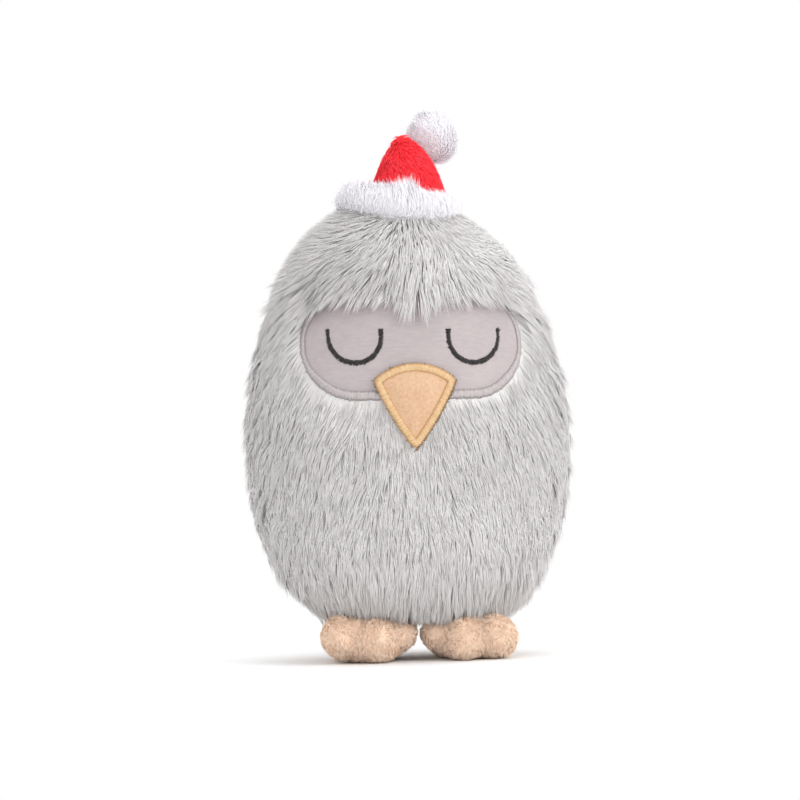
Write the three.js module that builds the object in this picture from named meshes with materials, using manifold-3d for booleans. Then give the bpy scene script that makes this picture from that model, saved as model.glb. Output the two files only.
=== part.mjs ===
// A stuffed plush owl that stands on its two feet: an egg-shaped body of long-pile plush,
// a short-pile face with embroidered sleeping eyes and a felt beak, three-toed stuffed feet,
// and a little bobble hat with a fluffy band, sewn to the crown.
//
// Millimetres, +Z up, the owl looks along -Y. The origin is on the floor under the body's middle.
// "left" and "right" are as seen from the front. Every piece of plush is drawn with its pile, so
// the outer faces are where the tips of the pile lie.

import * as THREE from "three";
import { mergeVertices } from "three/addons/utils/BufferGeometryUtils.js";
import Module from "manifold-3d";

const wasm = await Module();
wasm.setup();

// The body: half an ellipse above its widest level, a squarer curve below it
const BODY_HALF_WIDTH = 65.6;
const BODY_HALF_DEPTH = 48;
const CROWN_RISE = 100;
const BASE_DROP = 70.8;
const CROWN_POWER = 2;
const BASE_POWER = 2.6;
const PLUSH = 6;
const SEAM_GAP = 0.3;
const BASE_SEAM_RISE = 10.5;

// The face patch, its rolled satin-stitch border, and the eyes embroidered on it
const FACE_HALF_WIDTH = 43.8;
const FACE_HALF_HEIGHT = 21;
const FACE_CORNER_RADIUS = 17;
const FACE_ABOVE_WIDEST = 41.6;
const FACE_SUNK = 3;
const FACE_CLOTH = 1.2;
const FACE_BORDER_WIDTH = 3.6;
const FACE_BORDER_RAISED = 1.1;
const EYE_HALF_WIDTH = 10.2;
const EYE_LEG = 3.1;
const EYE_THREAD_WIDTH = 2;
const EYE_THREAD_RAISED = 0.8;
const EYE_SPACING = 47.6;
const EYES_ABOVE_FACE = 3.8;

// The felt beak: a rounded top edge and two slightly bowed sides that meet in a tip
const BEAK_HALF_WIDTH = 16.1;
const BEAK_TOP_BOW = 6.6;
const BEAK_SIDE_BOW = 1.1;
const BEAK_LENGTH = 27.8;
const BEAK_CORNERS_BELOW_FACE = 12.5;
const BEAK_SUNK = 0.7;
const BEAK_BORDER_WIDTH = 3.2;
const BEAK_BORDER_RAISED = 0.8;

// The feet: a stuffed pad with three toes, pressed in by the body that stands on it
const FOOT_HALF_WIDTH = 19;
const FOOT_HEIGHT = 18;
const FOOT_PRESSED_IN = 4.5;
const FOOT_SPACING = 40.4;
const FOOT_PLUSH = 2.5;
const SOLE_FLATTENED = 3;
const SOLE_SEAM_HEIGHT = 8.2;
const PAD_HALF_WIDTH = 16;
const PAD_HALF_LENGTH = 28;
const PAD_BACK = 1;
const TOE_HALF_LENGTH = 12.5;
const TOE_REACH = 23.5;

// The hat: a fluffy band, a short cone that folds over to the back, and a bobble on its tip
const BAND_RADIUS = 18;
const BAND_HALF_THICKNESS = 8.6;
const BAND_HALF_HEIGHT = 9.5;
const BAND_DEPTH_SHARE = 0.86;
const BAND_LEAN = 6;
const CONE_HALF_WIDTH = 15.4;
const CONE_HEIGHT = 30;
const CONE_CLOTH = 2;
const TIP_BALL_RADIUS = 4.8;
const TIP_ROOT_RADIUS = 3.6;
const TIP_RADIUS = 2.8;
const TIP_ASIDE = 6.5;
const TIP_BEHIND = 9.5;
const TIP_BELOW_PEAK = 10.2;
const BOBBLE_RADIUS = 10;
const BOBBLE_ASIDE = 16.9;
const BOBBLE_BEHIND = 17;
const BOBBLE_BELOW_PEAK = 1.8;
const BOBBLE_PLUSH = 3;
const BOBBLE_NECK = 1.5;
const BOBBLE_GATHER_RADIUS = 1.8;

// Levels that follow from those sizes
const UNDERSIDE_Z = FOOT_HEIGHT - FOOT_PRESSED_IN;
const WIDEST_Z = UNDERSIDE_Z + BASE_DROP;
const CROWN_Z = WIDEST_Z + CROWN_RISE;
const BASE_SEAM_Z = UNDERSIDE_Z + BASE_SEAM_RISE;
const FACE_Z = WIDEST_Z + FACE_ABOVE_WIDEST;
const CONE_FOOT_Z = CROWN_Z - BAND_HALF_HEIGHT / 2;
const PEAK_Z = CONE_FOOT_Z + CONE_HEIGHT;

// How finely the round forms are divided
const EGG_SIDES = 32;
const EGG_STEPS = 18;
const ARC_POINTS = 9;
const PAD_SIDES = 14;
const PAD_STEPS = 9;
const TOE_SIDES = 10;
const TOE_STEPS = 7;
const BAND_SIDES = 24;
const BAND_POINTS = 10;
const CONE_SIDES = 16;
const BALL_SIDES = 14;
const BALL_STEPS = 9;
const MERGE_DISTANCE = 1e-4;

// A length past every face of the part, for cuts that must come out on the far side
const OVERRUN = CROWN_Z + BODY_HALF_WIDTH;

// A closed geometry as a solid that can be joined and cut
function solidOf(geometry) {
  const bare = geometry.index ? geometry.toNonIndexed() : geometry.clone();
  bare.deleteAttribute("normal");
  bare.deleteAttribute("uv");
  const merged = mergeVertices(bare, MERGE_DISTANCE);
  const corners = merged.index.array;
  const kept = [];
  for (let i = 0; i < corners.length; i += 3) {
    const [a, b, c] = corners.slice(i, i + 3);
    if (a !== b && b !== c && c !== a) kept.push(a, b, c);
  }
  return new wasm.Manifold(
    new wasm.Mesh({
      numProp: 3,
      vertProperties: merged.attributes.position.array,
      triVerts: new Uint32Array(kept),
    }),
  );
}

function geometryOf(solid) {
  const { vertProperties, triVerts } = solid.getMesh();
  const geometry = new THREE.BufferGeometry();
  geometry.setAttribute("position", new THREE.BufferAttribute(vertProperties, 3));
  geometry.setIndex(new THREE.BufferAttribute(triVerts, 1));
  geometry.computeVertexNormals();
  return geometry;
}

// The box between two corners
function block(low, high) {
  const [width, depth, height] = high.map((far, i) => far - low[i]);
  const geometry = new THREE.BoxGeometry(width, depth, height);
  geometry.translate(...high.map((far, i) => (far + low[i]) / 2));
  return solidOf(geometry);
}

const above = (z) => block([-OVERRUN, -OVERRUN, z], [OVERRUN, OVERRUN, OVERRUN]);
const below = (z) => block([-OVERRUN, -OVERRUN, -OVERRUN], [OVERRUN, OVERRUN, z]);
const ahead = (y) => block([-OVERRUN, -OVERRUN, -OVERRUN], [OVERRUN, y, OVERRUN]);
const behind = (y) => block([-OVERRUN, y, -OVERRUN], [OVERRUN, OVERRUN, OVERRUN]);
const leftOf = (x) => block([-OVERRUN, -OVERRUN, -OVERRUN], [x, OVERRUN, OVERRUN]);
const rightOf = (x) => block([x, -OVERRUN, -OVERRUN], [OVERRUN, OVERRUN, OVERRUN]);

function ellipsoid(centre, radii, turn, sides, steps) {
  const geometry = new THREE.SphereGeometry(1, sides, steps);
  geometry.rotateX(Math.PI / 2);
  geometry.scale(radii.x, radii.y, radii.z);
  geometry.rotateZ(turn);
  geometry.translate(centre.x, centre.y, centre.z);
  return solidOf(geometry);
}

const ball = (centre, radius) =>
  ellipsoid(centre, new THREE.Vector3(radius, radius, radius), 0, BALL_SIDES, BALL_STEPS);

// The whole body's form, drawn in by an inset all over
function egg(inset) {
  const halfWidth = BODY_HALF_WIDTH - inset;
  const halfDepth = BODY_HALF_DEPTH - inset;
  const profile = [];
  for (let i = 0; i <= EGG_STEPS; i++) {
    const angle = Math.PI * (i / EGG_STEPS - 1 / 2);
    const [power, height] =
      angle < 0 ? [BASE_POWER, inset - BASE_DROP] : [CROWN_POWER, CROWN_RISE - inset];
    const out = i % EGG_STEPS === 0 ? 0 : halfWidth * Math.cos(angle) ** (2 / power);
    profile.push(new THREE.Vector2(out, height * Math.abs(Math.sin(angle)) ** (2 / power)));
  }
  const geometry = new THREE.LatheGeometry(profile, EGG_SIDES);
  geometry.rotateX(Math.PI / 2);
  geometry.scale(1, halfDepth / halfWidth, 1);
  geometry.translate(0, 0, WIDEST_Z);
  return solidOf(geometry);
}

// What lies between two depths under the body's outer face
const layer = (outerInset, innerInset) => egg(outerInset).subtract(egg(innerInset));

// An outline in the front view, run straight through the front half of the body
function throughFront(outline) {
  const geometry = new THREE.ExtrudeGeometry(outline, {
    depth: BODY_HALF_DEPTH + PLUSH,
    bevelEnabled: false,
    curveSegments: ARC_POINTS,
  });
  geometry.rotateX(Math.PI / 2);
  return solidOf(geometry);
}

function faceOutline(grow) {
  const x = FACE_HALF_WIDTH - FACE_CORNER_RADIUS;
  const z = FACE_HALF_HEIGHT - FACE_CORNER_RADIUS;
  const corners = [[x, z], [-x, z], [-x, -z], [x, -z]];
  const outline = new THREE.Shape();
  corners.forEach(([cornerX, cornerZ], i) => {
    const start = (i * Math.PI) / 2;
    const radius = FACE_CORNER_RADIUS + grow;
    outline.absarc(cornerX, FACE_Z + cornerZ, radius, start, start + Math.PI / 2, false);
  });
  return outline;
}

// A U of thread, its legs pointing up, centred on x
function eyeOutline(x) {
  const z = FACE_Z + EYES_ABOVE_FACE;
  const outer = EYE_HALF_WIDTH + EYE_THREAD_WIDTH / 2;
  const inner = EYE_HALF_WIDTH - EYE_THREAD_WIDTH / 2;
  const outline = new THREE.Shape();
  outline.moveTo(x - outer, z + EYE_LEG);
  outline.absarc(x, z, outer, Math.PI, 2 * Math.PI, false);
  outline.absarc(x + EYE_HALF_WIDTH, z + EYE_LEG, EYE_THREAD_WIDTH / 2, 0, Math.PI, false);
  outline.absarc(x, z, inner, 2 * Math.PI, Math.PI, true);
  outline.absarc(x - EYE_HALF_WIDTH, z + EYE_LEG, EYE_THREAD_WIDTH / 2, 0, Math.PI, false);
  return outline;
}

// The circle whose arc runs from a to b and bows out to the right of that line by bow
function bowedCircle(a, b, bow) {
  const half = b.clone().sub(a).multiplyScalar(1 / 2);
  const outward = new THREE.Vector2(half.y, -half.x).normalize();
  const radius = (half.lengthSq() + bow * bow) / (2 * bow);
  const centre = a.clone().add(half).addScaledVector(outward, bow - radius);
  return { centre, radius };
}

// Of the two points where circles of these radii cross, the one nearest to a given point
function crossing(one, oneRadius, other, otherRadius, near) {
  const between = other.centre.clone().sub(one.centre);
  const apart = between.length();
  const along = (apart * apart + oneRadius ** 2 - otherRadius ** 2) / (2 * apart);
  const aside = Math.sqrt(oneRadius ** 2 - along ** 2);
  between.normalize();
  const middle = one.centre.clone().addScaledVector(between, along);
  const sideways = new THREE.Vector2(-between.y, between.x);
  const found = [aside, -aside].map((s) => middle.clone().addScaledVector(sideways, s));
  return found.sort((p, q) => p.distanceTo(near) - q.distanceTo(near))[0];
}

// The beak's outline, grown outwards all round. Its three edges are arcs, so growth is exact.
function beakOutline(grow) {
  const cornersZ = FACE_Z - BEAK_CORNERS_BELOW_FACE;
  const right = new THREE.Vector2(BEAK_HALF_WIDTH, cornersZ);
  const left = new THREE.Vector2(-BEAK_HALF_WIDTH, cornersZ);
  const tip = new THREE.Vector2(0, cornersZ - BEAK_LENGTH);
  const corners = [right, left, tip];
  const bows = [BEAK_TOP_BOW, BEAK_SIDE_BOW, BEAK_SIDE_BOW];
  const edges = corners.map((corner, i) => bowedCircle(corner, corners[(i + 1) % 3], bows[i]));
  const ends = corners.map((corner, i) => {
    const [before, after] = [edges[(i + 2) % 3], edges[i]];
    return crossing(before, before.radius + grow, after, after.radius + grow, corner);
  });
  const outline = [];
  edges.forEach(({ centre, radius }, i) => {
    const start = ends[i].clone().sub(centre).angle();
    let sweep = ends[(i + 1) % 3].clone().sub(centre).angle() - start;
    if (sweep < 0) sweep += 2 * Math.PI;
    for (let k = 0; k < ARC_POINTS; k++) {
      const angle = start + (sweep * k) / ARC_POINTS;
      outline.push(
        new THREE.Vector2(
          centre.x + (radius + grow) * Math.cos(angle),
          centre.y + (radius + grow) * Math.sin(angle),
        ),
      );
    }
  });
  return new THREE.Shape(outline);
}

const beakDepth = { front: BEAK_SUNK, back: FACE_SUNK - SEAM_GAP };

// The plush cover, with the hollow where the face lies on the cloth and the beak on the pile
function bodyCover() {
  const faceHollow = throughFront(faceOutline(SEAM_GAP)).subtract(
    egg(FACE_SUNK + FACE_CLOTH + SEAM_GAP),
  );
  const beakHollow = throughFront(beakOutline(SEAM_GAP)).subtract(egg(FACE_SUNK));
  return layer(0, PLUSH).subtract(faceHollow).subtract(beakHollow);
}

function bodyPieces() {
  const cover = bodyCover();
  const upper = cover.intersect(above(BASE_SEAM_Z + SEAM_GAP / 2));
  const back = upper.intersect(behind(SEAM_GAP / 2));
  return {
    front_panel: upper.intersect(ahead(-SEAM_GAP / 2)),
    back_left_panel: back.intersect(leftOf(-SEAM_GAP / 2)),
    back_right_panel: back.intersect(rightOf(SEAM_GAP / 2)),
    base_panel: cover.intersect(below(BASE_SEAM_Z - SEAM_GAP / 2)),
    body_stuffing: egg(PLUSH + SEAM_GAP),
  };
}

function facePieces() {
  const clearOfBeak = throughFront(beakOutline(SEAM_GAP));
  const edge = throughFront(faceOutline(0)).subtract(
    throughFront(faceOutline(-FACE_BORDER_WIDTH)),
  );
  const patch = throughFront(faceOutline(-FACE_BORDER_WIDTH - SEAM_GAP));
  const thread = layer(FACE_SUNK - SEAM_GAP - EYE_THREAD_RAISED, FACE_SUNK - SEAM_GAP);
  const eye = (side) => throughFront(eyeOutline((side * EYE_SPACING) / 2));
  const beakEdge = throughFront(beakOutline(0)).subtract(
    throughFront(beakOutline(-BEAK_BORDER_WIDTH)),
  );
  return {
    face_patch: layer(FACE_SUNK, FACE_SUNK + FACE_CLOTH).intersect(patch),
    face_border: layer(FACE_SUNK - FACE_BORDER_RAISED, FACE_SUNK + FACE_CLOTH)
      .intersect(edge)
      .subtract(clearOfBeak),
    eye_left: thread.intersect(eye(-1)),
    eye_right: thread.intersect(eye(1)),
    beak: layer(beakDepth.front, beakDepth.back).intersect(
      throughFront(beakOutline(-BEAK_BORDER_WIDTH - SEAM_GAP)),
    ),
    beak_border: layer(beakDepth.front - BEAK_BORDER_RAISED, beakDepth.back).intersect(beakEdge),
  };
}

// Each toe's middle, outward of the foot's own and ahead of it, as shares of the foot's half width
// and of the toes' reach; its middle's height and half height as shares of the foot's height; and
// its half width as a share of the foot's
const TOE_SHARES = {
  left: {
    outer: { outward: 0.55, ahead: 0.8, up: 0.52, halfHeight: 0.46, halfWidth: 0.45 },
    middle: { outward: -0.1, ahead: 1, up: 0.49, halfHeight: 0.48, halfWidth: 0.46 },
    inner: { outward: -0.61, ahead: 0.67, up: 0.6, halfHeight: 0.4, halfWidth: 0.39 },
  },
  right: {
    outer: { outward: 0.56, ahead: 0.9, up: 0.48, halfHeight: 0.5, halfWidth: 0.44 },
    middle: { outward: -0.14, ahead: 1, up: 0.48, halfHeight: 0.5, halfWidth: 0.42 },
    inner: { outward: -0.62, ahead: 0.65, up: 0.6, halfHeight: 0.4, halfWidth: 0.38 },
  },
};

// A foot's form, drawn in by an inset all over, flat below and pressed in by the body above
function footForm(side, inset) {
  const outward = side === "left" ? -1 : 1;
  const middle = new THREE.Vector3((outward * FOOT_SPACING) / 2, PAD_BACK, FOOT_HEIGHT / 2);
  const padRadii = new THREE.Vector3(
    PAD_HALF_WIDTH,
    PAD_HALF_LENGTH,
    FOOT_HEIGHT / 2 + SOLE_FLATTENED,
  );
  let form = ellipsoid(middle, padRadii.subScalar(inset), 0, PAD_SIDES, PAD_STEPS);
  for (const toe of Object.values(TOE_SHARES[side])) {
    const across = outward * toe.outward * FOOT_HALF_WIDTH;
    const ahead = toe.ahead * TOE_REACH;
    const centre = new THREE.Vector3(
      middle.x + across,
      middle.y - ahead,
      toe.up * FOOT_HEIGHT,
    );
    const radii = new THREE.Vector3(
      toe.halfWidth * FOOT_HALF_WIDTH,
      TOE_HALF_LENGTH,
      toe.halfHeight * FOOT_HEIGHT,
    );
    const turn = Math.atan2(across, PAD_HALF_LENGTH + ahead);
    form = form.add(ellipsoid(centre, radii.subScalar(inset), turn, TOE_SIDES, TOE_STEPS));
  }
  return form.intersect(above(inset)).subtract(egg(-SEAM_GAP - inset));
}

function footPieces(side) {
  const plush = footForm(side, 0).subtract(footForm(side, FOOT_PLUSH));
  return {
    [`foot_${side}_top`]: plush.intersect(above(SOLE_SEAM_HEIGHT + SEAM_GAP / 2)),
    [`foot_${side}_sole`]: plush.intersect(below(SOLE_SEAM_HEIGHT - SEAM_GAP / 2)),
    [`foot_${side}_stuffing`]: footForm(side, FOOT_PLUSH + SEAM_GAP),
  };
}

// The cone's level sections from its foot to its peak: height as a share of its own, half width and
// half depth as shares of its half width, and how far it leans aside and back as the same share
const CONE_SHARES = [
  { up: 0, width: 1, depth: 0.86, aside: 0.14, back: 0 },
  { up: 0.24, width: 0.95, depth: 0.82, aside: 0.17, back: 0.04 },
  { up: 0.42, width: 0.86, depth: 0.77, aside: 0.19, back: 0.1 },
  { up: 0.57, width: 0.73, depth: 0.7, aside: 0.21, back: 0.17 },
  { up: 0.71, width: 0.59, depth: 0.61, aside: 0.21, back: 0.25 },
  { up: 0.84, width: 0.42, depth: 0.5, aside: 0.19, back: 0.33 },
  { up: 0.94, width: 0.25, depth: 0.36, aside: 0.11, back: 0.38 },
  { up: 1, width: 0.08, depth: 0.18, aside: 0.02, back: 0.4 },
];

// The cone's form, drawn in by an inset all over, standing inside the band
function coneForm(inset) {
  const foot = CONE_FOOT_Z - BAND_HALF_HEIGHT;
  const tall = PEAK_Z - foot;
  const least = Math.min(...CONE_SHARES.map((level) => level.width)) * CONE_HALF_WIDTH;
  const rings = [{ ...CONE_SHARES[0], up: -BAND_HALF_HEIGHT / CONE_HEIGHT }, ...CONE_SHARES].map(
    ({ up, width, depth, aside, back }) => ({
      x: aside * CONE_HALF_WIDTH,
      y: back * CONE_HALF_WIDTH,
      z: foot + (CONE_FOOT_Z - foot + up * CONE_HEIGHT) * (1 - Math.max(inset, 0) / tall),
      halfWidth: Math.max(width * CONE_HALF_WIDTH - inset, least / 2),
      halfDepth: Math.max(depth * CONE_HALF_WIDTH - inset, least / 2),
    }),
  );
  const points = rings.flatMap(({ x, y, z, halfWidth, halfDepth }) =>
    Array.from({ length: CONE_SIDES }, (_, i) => {
      const angle = (2 * Math.PI * i) / CONE_SIDES;
      return [x + halfWidth * Math.cos(angle), y + halfDepth * Math.sin(angle), z];
    }),
  );
  const [low, high] = [points.length, points.length + 1];
  const [first, last] = [rings[0], rings.at(-1)];
  points.push([first.x, first.y, first.z], [last.x, last.y, last.z]);
  const faces = [];
  for (let i = 0; i < CONE_SIDES; i++) {
    const next = (i + 1) % CONE_SIDES;
    const top = (rings.length - 1) * CONE_SIDES;
    faces.push(low, next, i, high, top + i, top + next);
    for (let ring = 0; ring < rings.length - 1; ring++) {
      const [a, b] = [ring * CONE_SIDES, (ring + 1) * CONE_SIDES];
      faces.push(a + i, a + next, b + next, a + i, b + next, b + i);
    }
  }
  const geometry = new THREE.BufferGeometry();
  geometry.setAttribute("position", new THREE.Float32BufferAttribute(points.flat(), 3));
  geometry.setIndex(faces);
  return solidOf(geometry);
}

// The fold where the tip turns out of the cone, and the bobble's middle
const foldAt = new THREE.Vector3(TIP_ASIDE, TIP_BEHIND, PEAK_Z - TIP_BELOW_PEAK);
const bobbleAt = new THREE.Vector3(BOBBLE_ASIDE, BOBBLE_BEHIND, PEAK_Z - BOBBLE_BELOW_PEAK);
const tipDirection = bobbleAt.clone().sub(foldAt).normalize();
// The gathered neck where the bobble is sewn on, just short of the bobble's face
const neckAt = bobbleAt.clone().addScaledVector(tipDirection, -BOBBLE_RADIUS - BOBBLE_NECK);

// A taper from one point to another
function taper(from, to, radiusFrom, radiusTo) {
  const length = to.distanceTo(from);
  const geometry = new THREE.CylinderGeometry(radiusTo, radiusFrom, length, BALL_SIDES);
  geometry.translate(0, length / 2, 0);
  const up = new THREE.Vector3(0, 1, 0);
  const along = to.clone().sub(from).normalize();
  geometry.applyQuaternion(new THREE.Quaternion().setFromUnitVectors(up, along));
  geometry.translate(from.x, from.y, from.z);
  return solidOf(geometry);
}

const tipForm = () =>
  taper(foldAt, neckAt, TIP_ROOT_RADIUS, TIP_RADIUS)
    .add(ball(foldAt, TIP_BALL_RADIUS))
    .add(ball(neckAt, TIP_RADIUS));

function bandForm() {
  const section = Array.from({ length: BAND_POINTS + 1 }, (_, i) => {
    const angle = (2 * Math.PI * (i % BAND_POINTS)) / BAND_POINTS;
    return new THREE.Vector2(
      BAND_RADIUS + BAND_HALF_THICKNESS * Math.cos(angle),
      BAND_HALF_HEIGHT * Math.sin(angle),
    );
  });
  const geometry = new THREE.LatheGeometry(section, BAND_SIDES);
  geometry.rotateX(Math.PI / 2);
  geometry.scale(1, BAND_DEPTH_SHARE, 1);
  geometry.rotateY(THREE.MathUtils.degToRad(BAND_LEAN));
  geometry.translate(0, 0, CONE_FOOT_Z);
  return solidOf(geometry);
}

function hatPieces() {
  const head = egg(-SEAM_GAP);
  const foldSeat = ball(foldAt, TIP_BALL_RADIUS + SEAM_GAP);
  const neckSeat = ball(neckAt, TIP_RADIUS + SEAM_GAP);
  const cone = coneForm(0).subtract(coneForm(CONE_CLOTH));
  const cover = ball(bobbleAt, BOBBLE_RADIUS).subtract(ball(bobbleAt, BOBBLE_RADIUS - BOBBLE_PLUSH));
  return {
    hat_band: bandForm().subtract(head).subtract(coneForm(-SEAM_GAP)),
    hat_cone: cone.subtract(head).subtract(foldSeat),
    hat_stuffing: coneForm(CONE_CLOTH + SEAM_GAP).subtract(head).subtract(foldSeat),
    hat_tip: tipForm(),
    bobble_cover: cover
      .subtract(neckSeat)
      .subtract(taper(neckAt, bobbleAt, BOBBLE_GATHER_RADIUS, BOBBLE_GATHER_RADIUS)),
    bobble_stuffing: ball(bobbleAt, BOBBLE_RADIUS - BOBBLE_PLUSH - SEAM_GAP),
  };
}

const plush = (color) => new THREE.MeshStandardMaterial({ color, roughness: 0.95, metalness: 0 });
const greyFur = plush(0xc6c3c1);
const whiteFur = plush(0xece7ee);
const redPlush = plush(0xf03040);
const peachPlush = plush(0xe3c4ab);
const faceVelour = plush(0xc9bdbd);
const beakFelt = plush(0xedc5a3);
const beakThread = plush(0xe9c091);
const faceThread = plush(0xbfb5b8);
const blackThread = plush(0x2c2628);
const fibre = plush(0xf4f4f2);

const owl = new THREE.Group();
owl.name = "plush_owl";

function place(pieces, materialOf) {
  for (const [name, solid] of Object.entries(pieces)) {
    const mesh = new THREE.Mesh(geometryOf(solid), materialOf(name));
    mesh.name = name;
    owl.add(mesh);
  }
}

const faceMaterials = {
  face_patch: faceVelour,
  face_border: faceThread,
  eye_left: blackThread,
  eye_right: blackThread,
  beak: beakFelt,
  beak_border: beakThread,
};
const hatMaterials = {
  hat_band: whiteFur,
  hat_cone: redPlush,
  hat_stuffing: fibre,
  hat_tip: redPlush,
  bobble_cover: whiteFur,
  bobble_stuffing: fibre,
};

place(bodyPieces(), (name) => (name.endsWith("stuffing") ? fibre : greyFur));
place(facePieces(), (name) => faceMaterials[name]);
for (const side of ["left", "right"]) {
  place(footPieces(side), (name) => (name.endsWith("stuffing") ? fibre : peachPlush));
}
place(hatPieces(), (name) => hatMaterials[name]);

export default owl;
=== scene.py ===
# %% [markdown]
# # A plush owl with a bobble hat
#
# The owl is an egg of long grey pile on two peach feet. It has a short-pile face with stitched,
# sleeping eyes, a felt beak and a small hat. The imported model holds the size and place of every
# piece, so this script dresses it: a cloth skin for each panel, and pile as real strands on it.

# %% Load the frame
import math

import bmesh
import bpy
import numpy as np
from mathutils import Matrix, Quaternion, Vector
from mathutils.kdtree import KDTree


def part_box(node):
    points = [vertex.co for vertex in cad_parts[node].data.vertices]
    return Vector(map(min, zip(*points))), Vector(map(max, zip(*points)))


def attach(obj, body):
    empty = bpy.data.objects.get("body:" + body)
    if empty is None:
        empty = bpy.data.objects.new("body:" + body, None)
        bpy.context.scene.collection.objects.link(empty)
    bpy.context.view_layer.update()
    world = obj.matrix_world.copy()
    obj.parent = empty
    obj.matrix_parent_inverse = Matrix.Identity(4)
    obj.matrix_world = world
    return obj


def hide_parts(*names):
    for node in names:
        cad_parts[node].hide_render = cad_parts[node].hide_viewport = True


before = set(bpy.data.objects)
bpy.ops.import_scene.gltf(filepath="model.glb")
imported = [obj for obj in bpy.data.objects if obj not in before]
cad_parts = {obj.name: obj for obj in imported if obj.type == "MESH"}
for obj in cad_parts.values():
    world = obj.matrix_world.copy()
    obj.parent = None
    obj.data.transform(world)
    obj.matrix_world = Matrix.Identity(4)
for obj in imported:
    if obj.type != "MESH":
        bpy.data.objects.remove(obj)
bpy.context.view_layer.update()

MM = 0.001

# %% [markdown]
# The photograph was taken with a long lens, slightly to one side and from just above the table.
# The camera is also rolled a little, so the owl seems to lean. A long lens from far away keeps the
# view nearly parallel, and the frame's width at the owl sets how long the lens has to be.

# %% The camera
AZIMUTH = -5.5
ELEVATION = 2
ROLL = 1.9
DISTANCE = 3.2
FRAME_WIDTH = 0.32
AIM_ASIDE = -3.2 * MM
AIM_UP = 18.9 * MM
BASE_DROP = 70.8 * MM
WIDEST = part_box("base_panel")[0].z + BASE_DROP


def add_object(name, data, place=(0, 0, 0), turn=None):
    """A new object in the scene."""
    added = bpy.data.objects.new(name, data)
    bpy.context.scene.collection.objects.link(added)
    added.location = place
    if turn is not None:
        added.rotation_mode = "QUATERNION"
        added.rotation_quaternion = turn
    return added


across, up = math.radians(AZIMUTH), math.radians(ELEVATION)
back = Vector((math.sin(across) * math.cos(up), -math.cos(across) * math.cos(up), math.sin(up)))
turn = (-back).to_track_quat("-Z", "Y") @ Quaternion((0, 0, 1), -math.radians(ROLL))
aim = Vector((0, 0, WIDEST)) + turn @ Vector((AIM_ASIDE, AIM_UP, 0))
camera = add_object("camera", bpy.data.cameras.new("camera"), aim + back * DISTANCE, turn)
camera.data.lens = camera.data.sensor_width * DISTANCE / FRAME_WIDTH
camera.data.clip_end = 30
bpy.context.scene.camera = camera
print("lens", round(camera.data.lens), "mm, aimed at", [round(v, 4) for v in aim])

# %% [markdown]
# Every finish needs nodes that vary its colour and its bump. Sums on sockets are easier to read as
# Python sums than as node calls, so a socket is wrapped in a class whose operators add Math nodes.
# One method makes any other node from its settings and from what feeds its sockets.


# %% Sums on sockets, and one way to add a node
class Wire:
    """A node's output. Arithmetic on it adds Math nodes."""

    def __init__(self, tree, socket):
        self.tree = tree
        self.socket = socket

    def sum(self, operation, *values):
        return self.tree.node("ShaderNodeMath", {"operation": operation}, dict(enumerate(values)))

    def __add__(self, other):
        return self.sum("ADD", self, other)

    __radd__ = __add__

    def __mul__(self, other):
        return self.sum("MULTIPLY", self, other)

    __rmul__ = __mul__

    def floor(self):
        return self.sum("FLOOR", self)

    def other(self, output):
        """Another output of the same node."""
        return Wire(self.tree, self.socket.node.outputs[output])


class Tree:
    """The nodes of a material or of the world."""

    def __init__(self, owner):
        owner.use_nodes = True
        self.nodes = owner.node_tree.nodes
        self.links = owner.node_tree.links

    def feed(self, socket, value):
        """Links a wire to a socket, or sets a plain value on it."""
        if isinstance(value, Wire):
            self.links.new(value.socket, socket)
        else:
            socket.default_value = value

    def node(self, kind, settings=None, inputs=None, output=0):
        node = self.nodes.new(kind)
        for key, value in (settings or {}).items():
            if key == "stops":
                self.place_stops(node.color_ramp.elements, value)
            else:
                setattr(node, key, value)
        for key, value in (inputs or {}).items():
            self.feed(node.inputs[key], value)
        return Wire(self, node.outputs[output])

    def place_stops(self, elements, stops):
        while len(elements) < len(stops):
            elements.new(1)
        for element, (at, colour) in zip(elements, stops):
            element.position = at
            element.color = (*colour, 1)


print("node helper ready")

# %% [markdown]
# A material here is one Principled surface. Cloth scatters light at its edges, which sheen gives,
# and it has little gloss. Patterns are read at the object's own place, so they stay on a piece
# that moves.

# %% One surface and what varies it
WHITE = (1, 1, 1, 1)


class Finish(Tree):
    """A material: one Principled surface, and the nodes that vary it."""

    def __init__(self, name, roughness, sheen=0.0, specular=0.25):
        self.material = bpy.data.materials.new(name)
        super().__init__(self.material)
        self.surface = self.nodes["Principled BSDF"]
        self.set("Roughness", roughness)
        self.set("Sheen Weight", sheen)
        self.set("Sheen Roughness", 0.5)
        self.set("Sheen Tint", WHITE)
        self.set("Specular IOR Level", specular)

    def set(self, socket, value):
        self.feed(self.surface.inputs[socket], value)

    def place_on_object(self):
        return self.node("ShaderNodeTexCoord", output="Object")

    def stretched(self, factors):
        place = {0: self.place_on_object(), 1: factors}
        return self.node("ShaderNodeVectorMath", {"operation": "MULTIPLY"}, place)

    def mixed(self, share, one, other):
        """A colour between two, each a wire or its red, green and blue."""
        one, other = (end if isinstance(end, Wire) else (*end, 1) for end in (one, other))
        return self.node("ShaderNodeMix", {"data_type": "RGBA"}, {0: share, 6: one, 7: other}, 2)

    def noise(self, scale, detail, roughness, place):
        values = {"Vector": place, "Scale": scale, "Detail": detail, "Roughness": roughness}
        return self.node("ShaderNodeTexNoise", inputs=values)

    def bumped(self, height, distance):
        sizes = {"Height": height, "Distance": distance}
        self.set("Normal", self.node("ShaderNodeBump", inputs=sizes))


print("surface helper ready")

# %% [markdown]
# The table is a plain white floor. Close to the owl it takes the owl's shadow, and further out it
# fades to the same white as the background, so that no horizon shows. Large lamps and a bright
# world give the soft light of a studio, a little stronger from the right as in the photograph.

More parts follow.
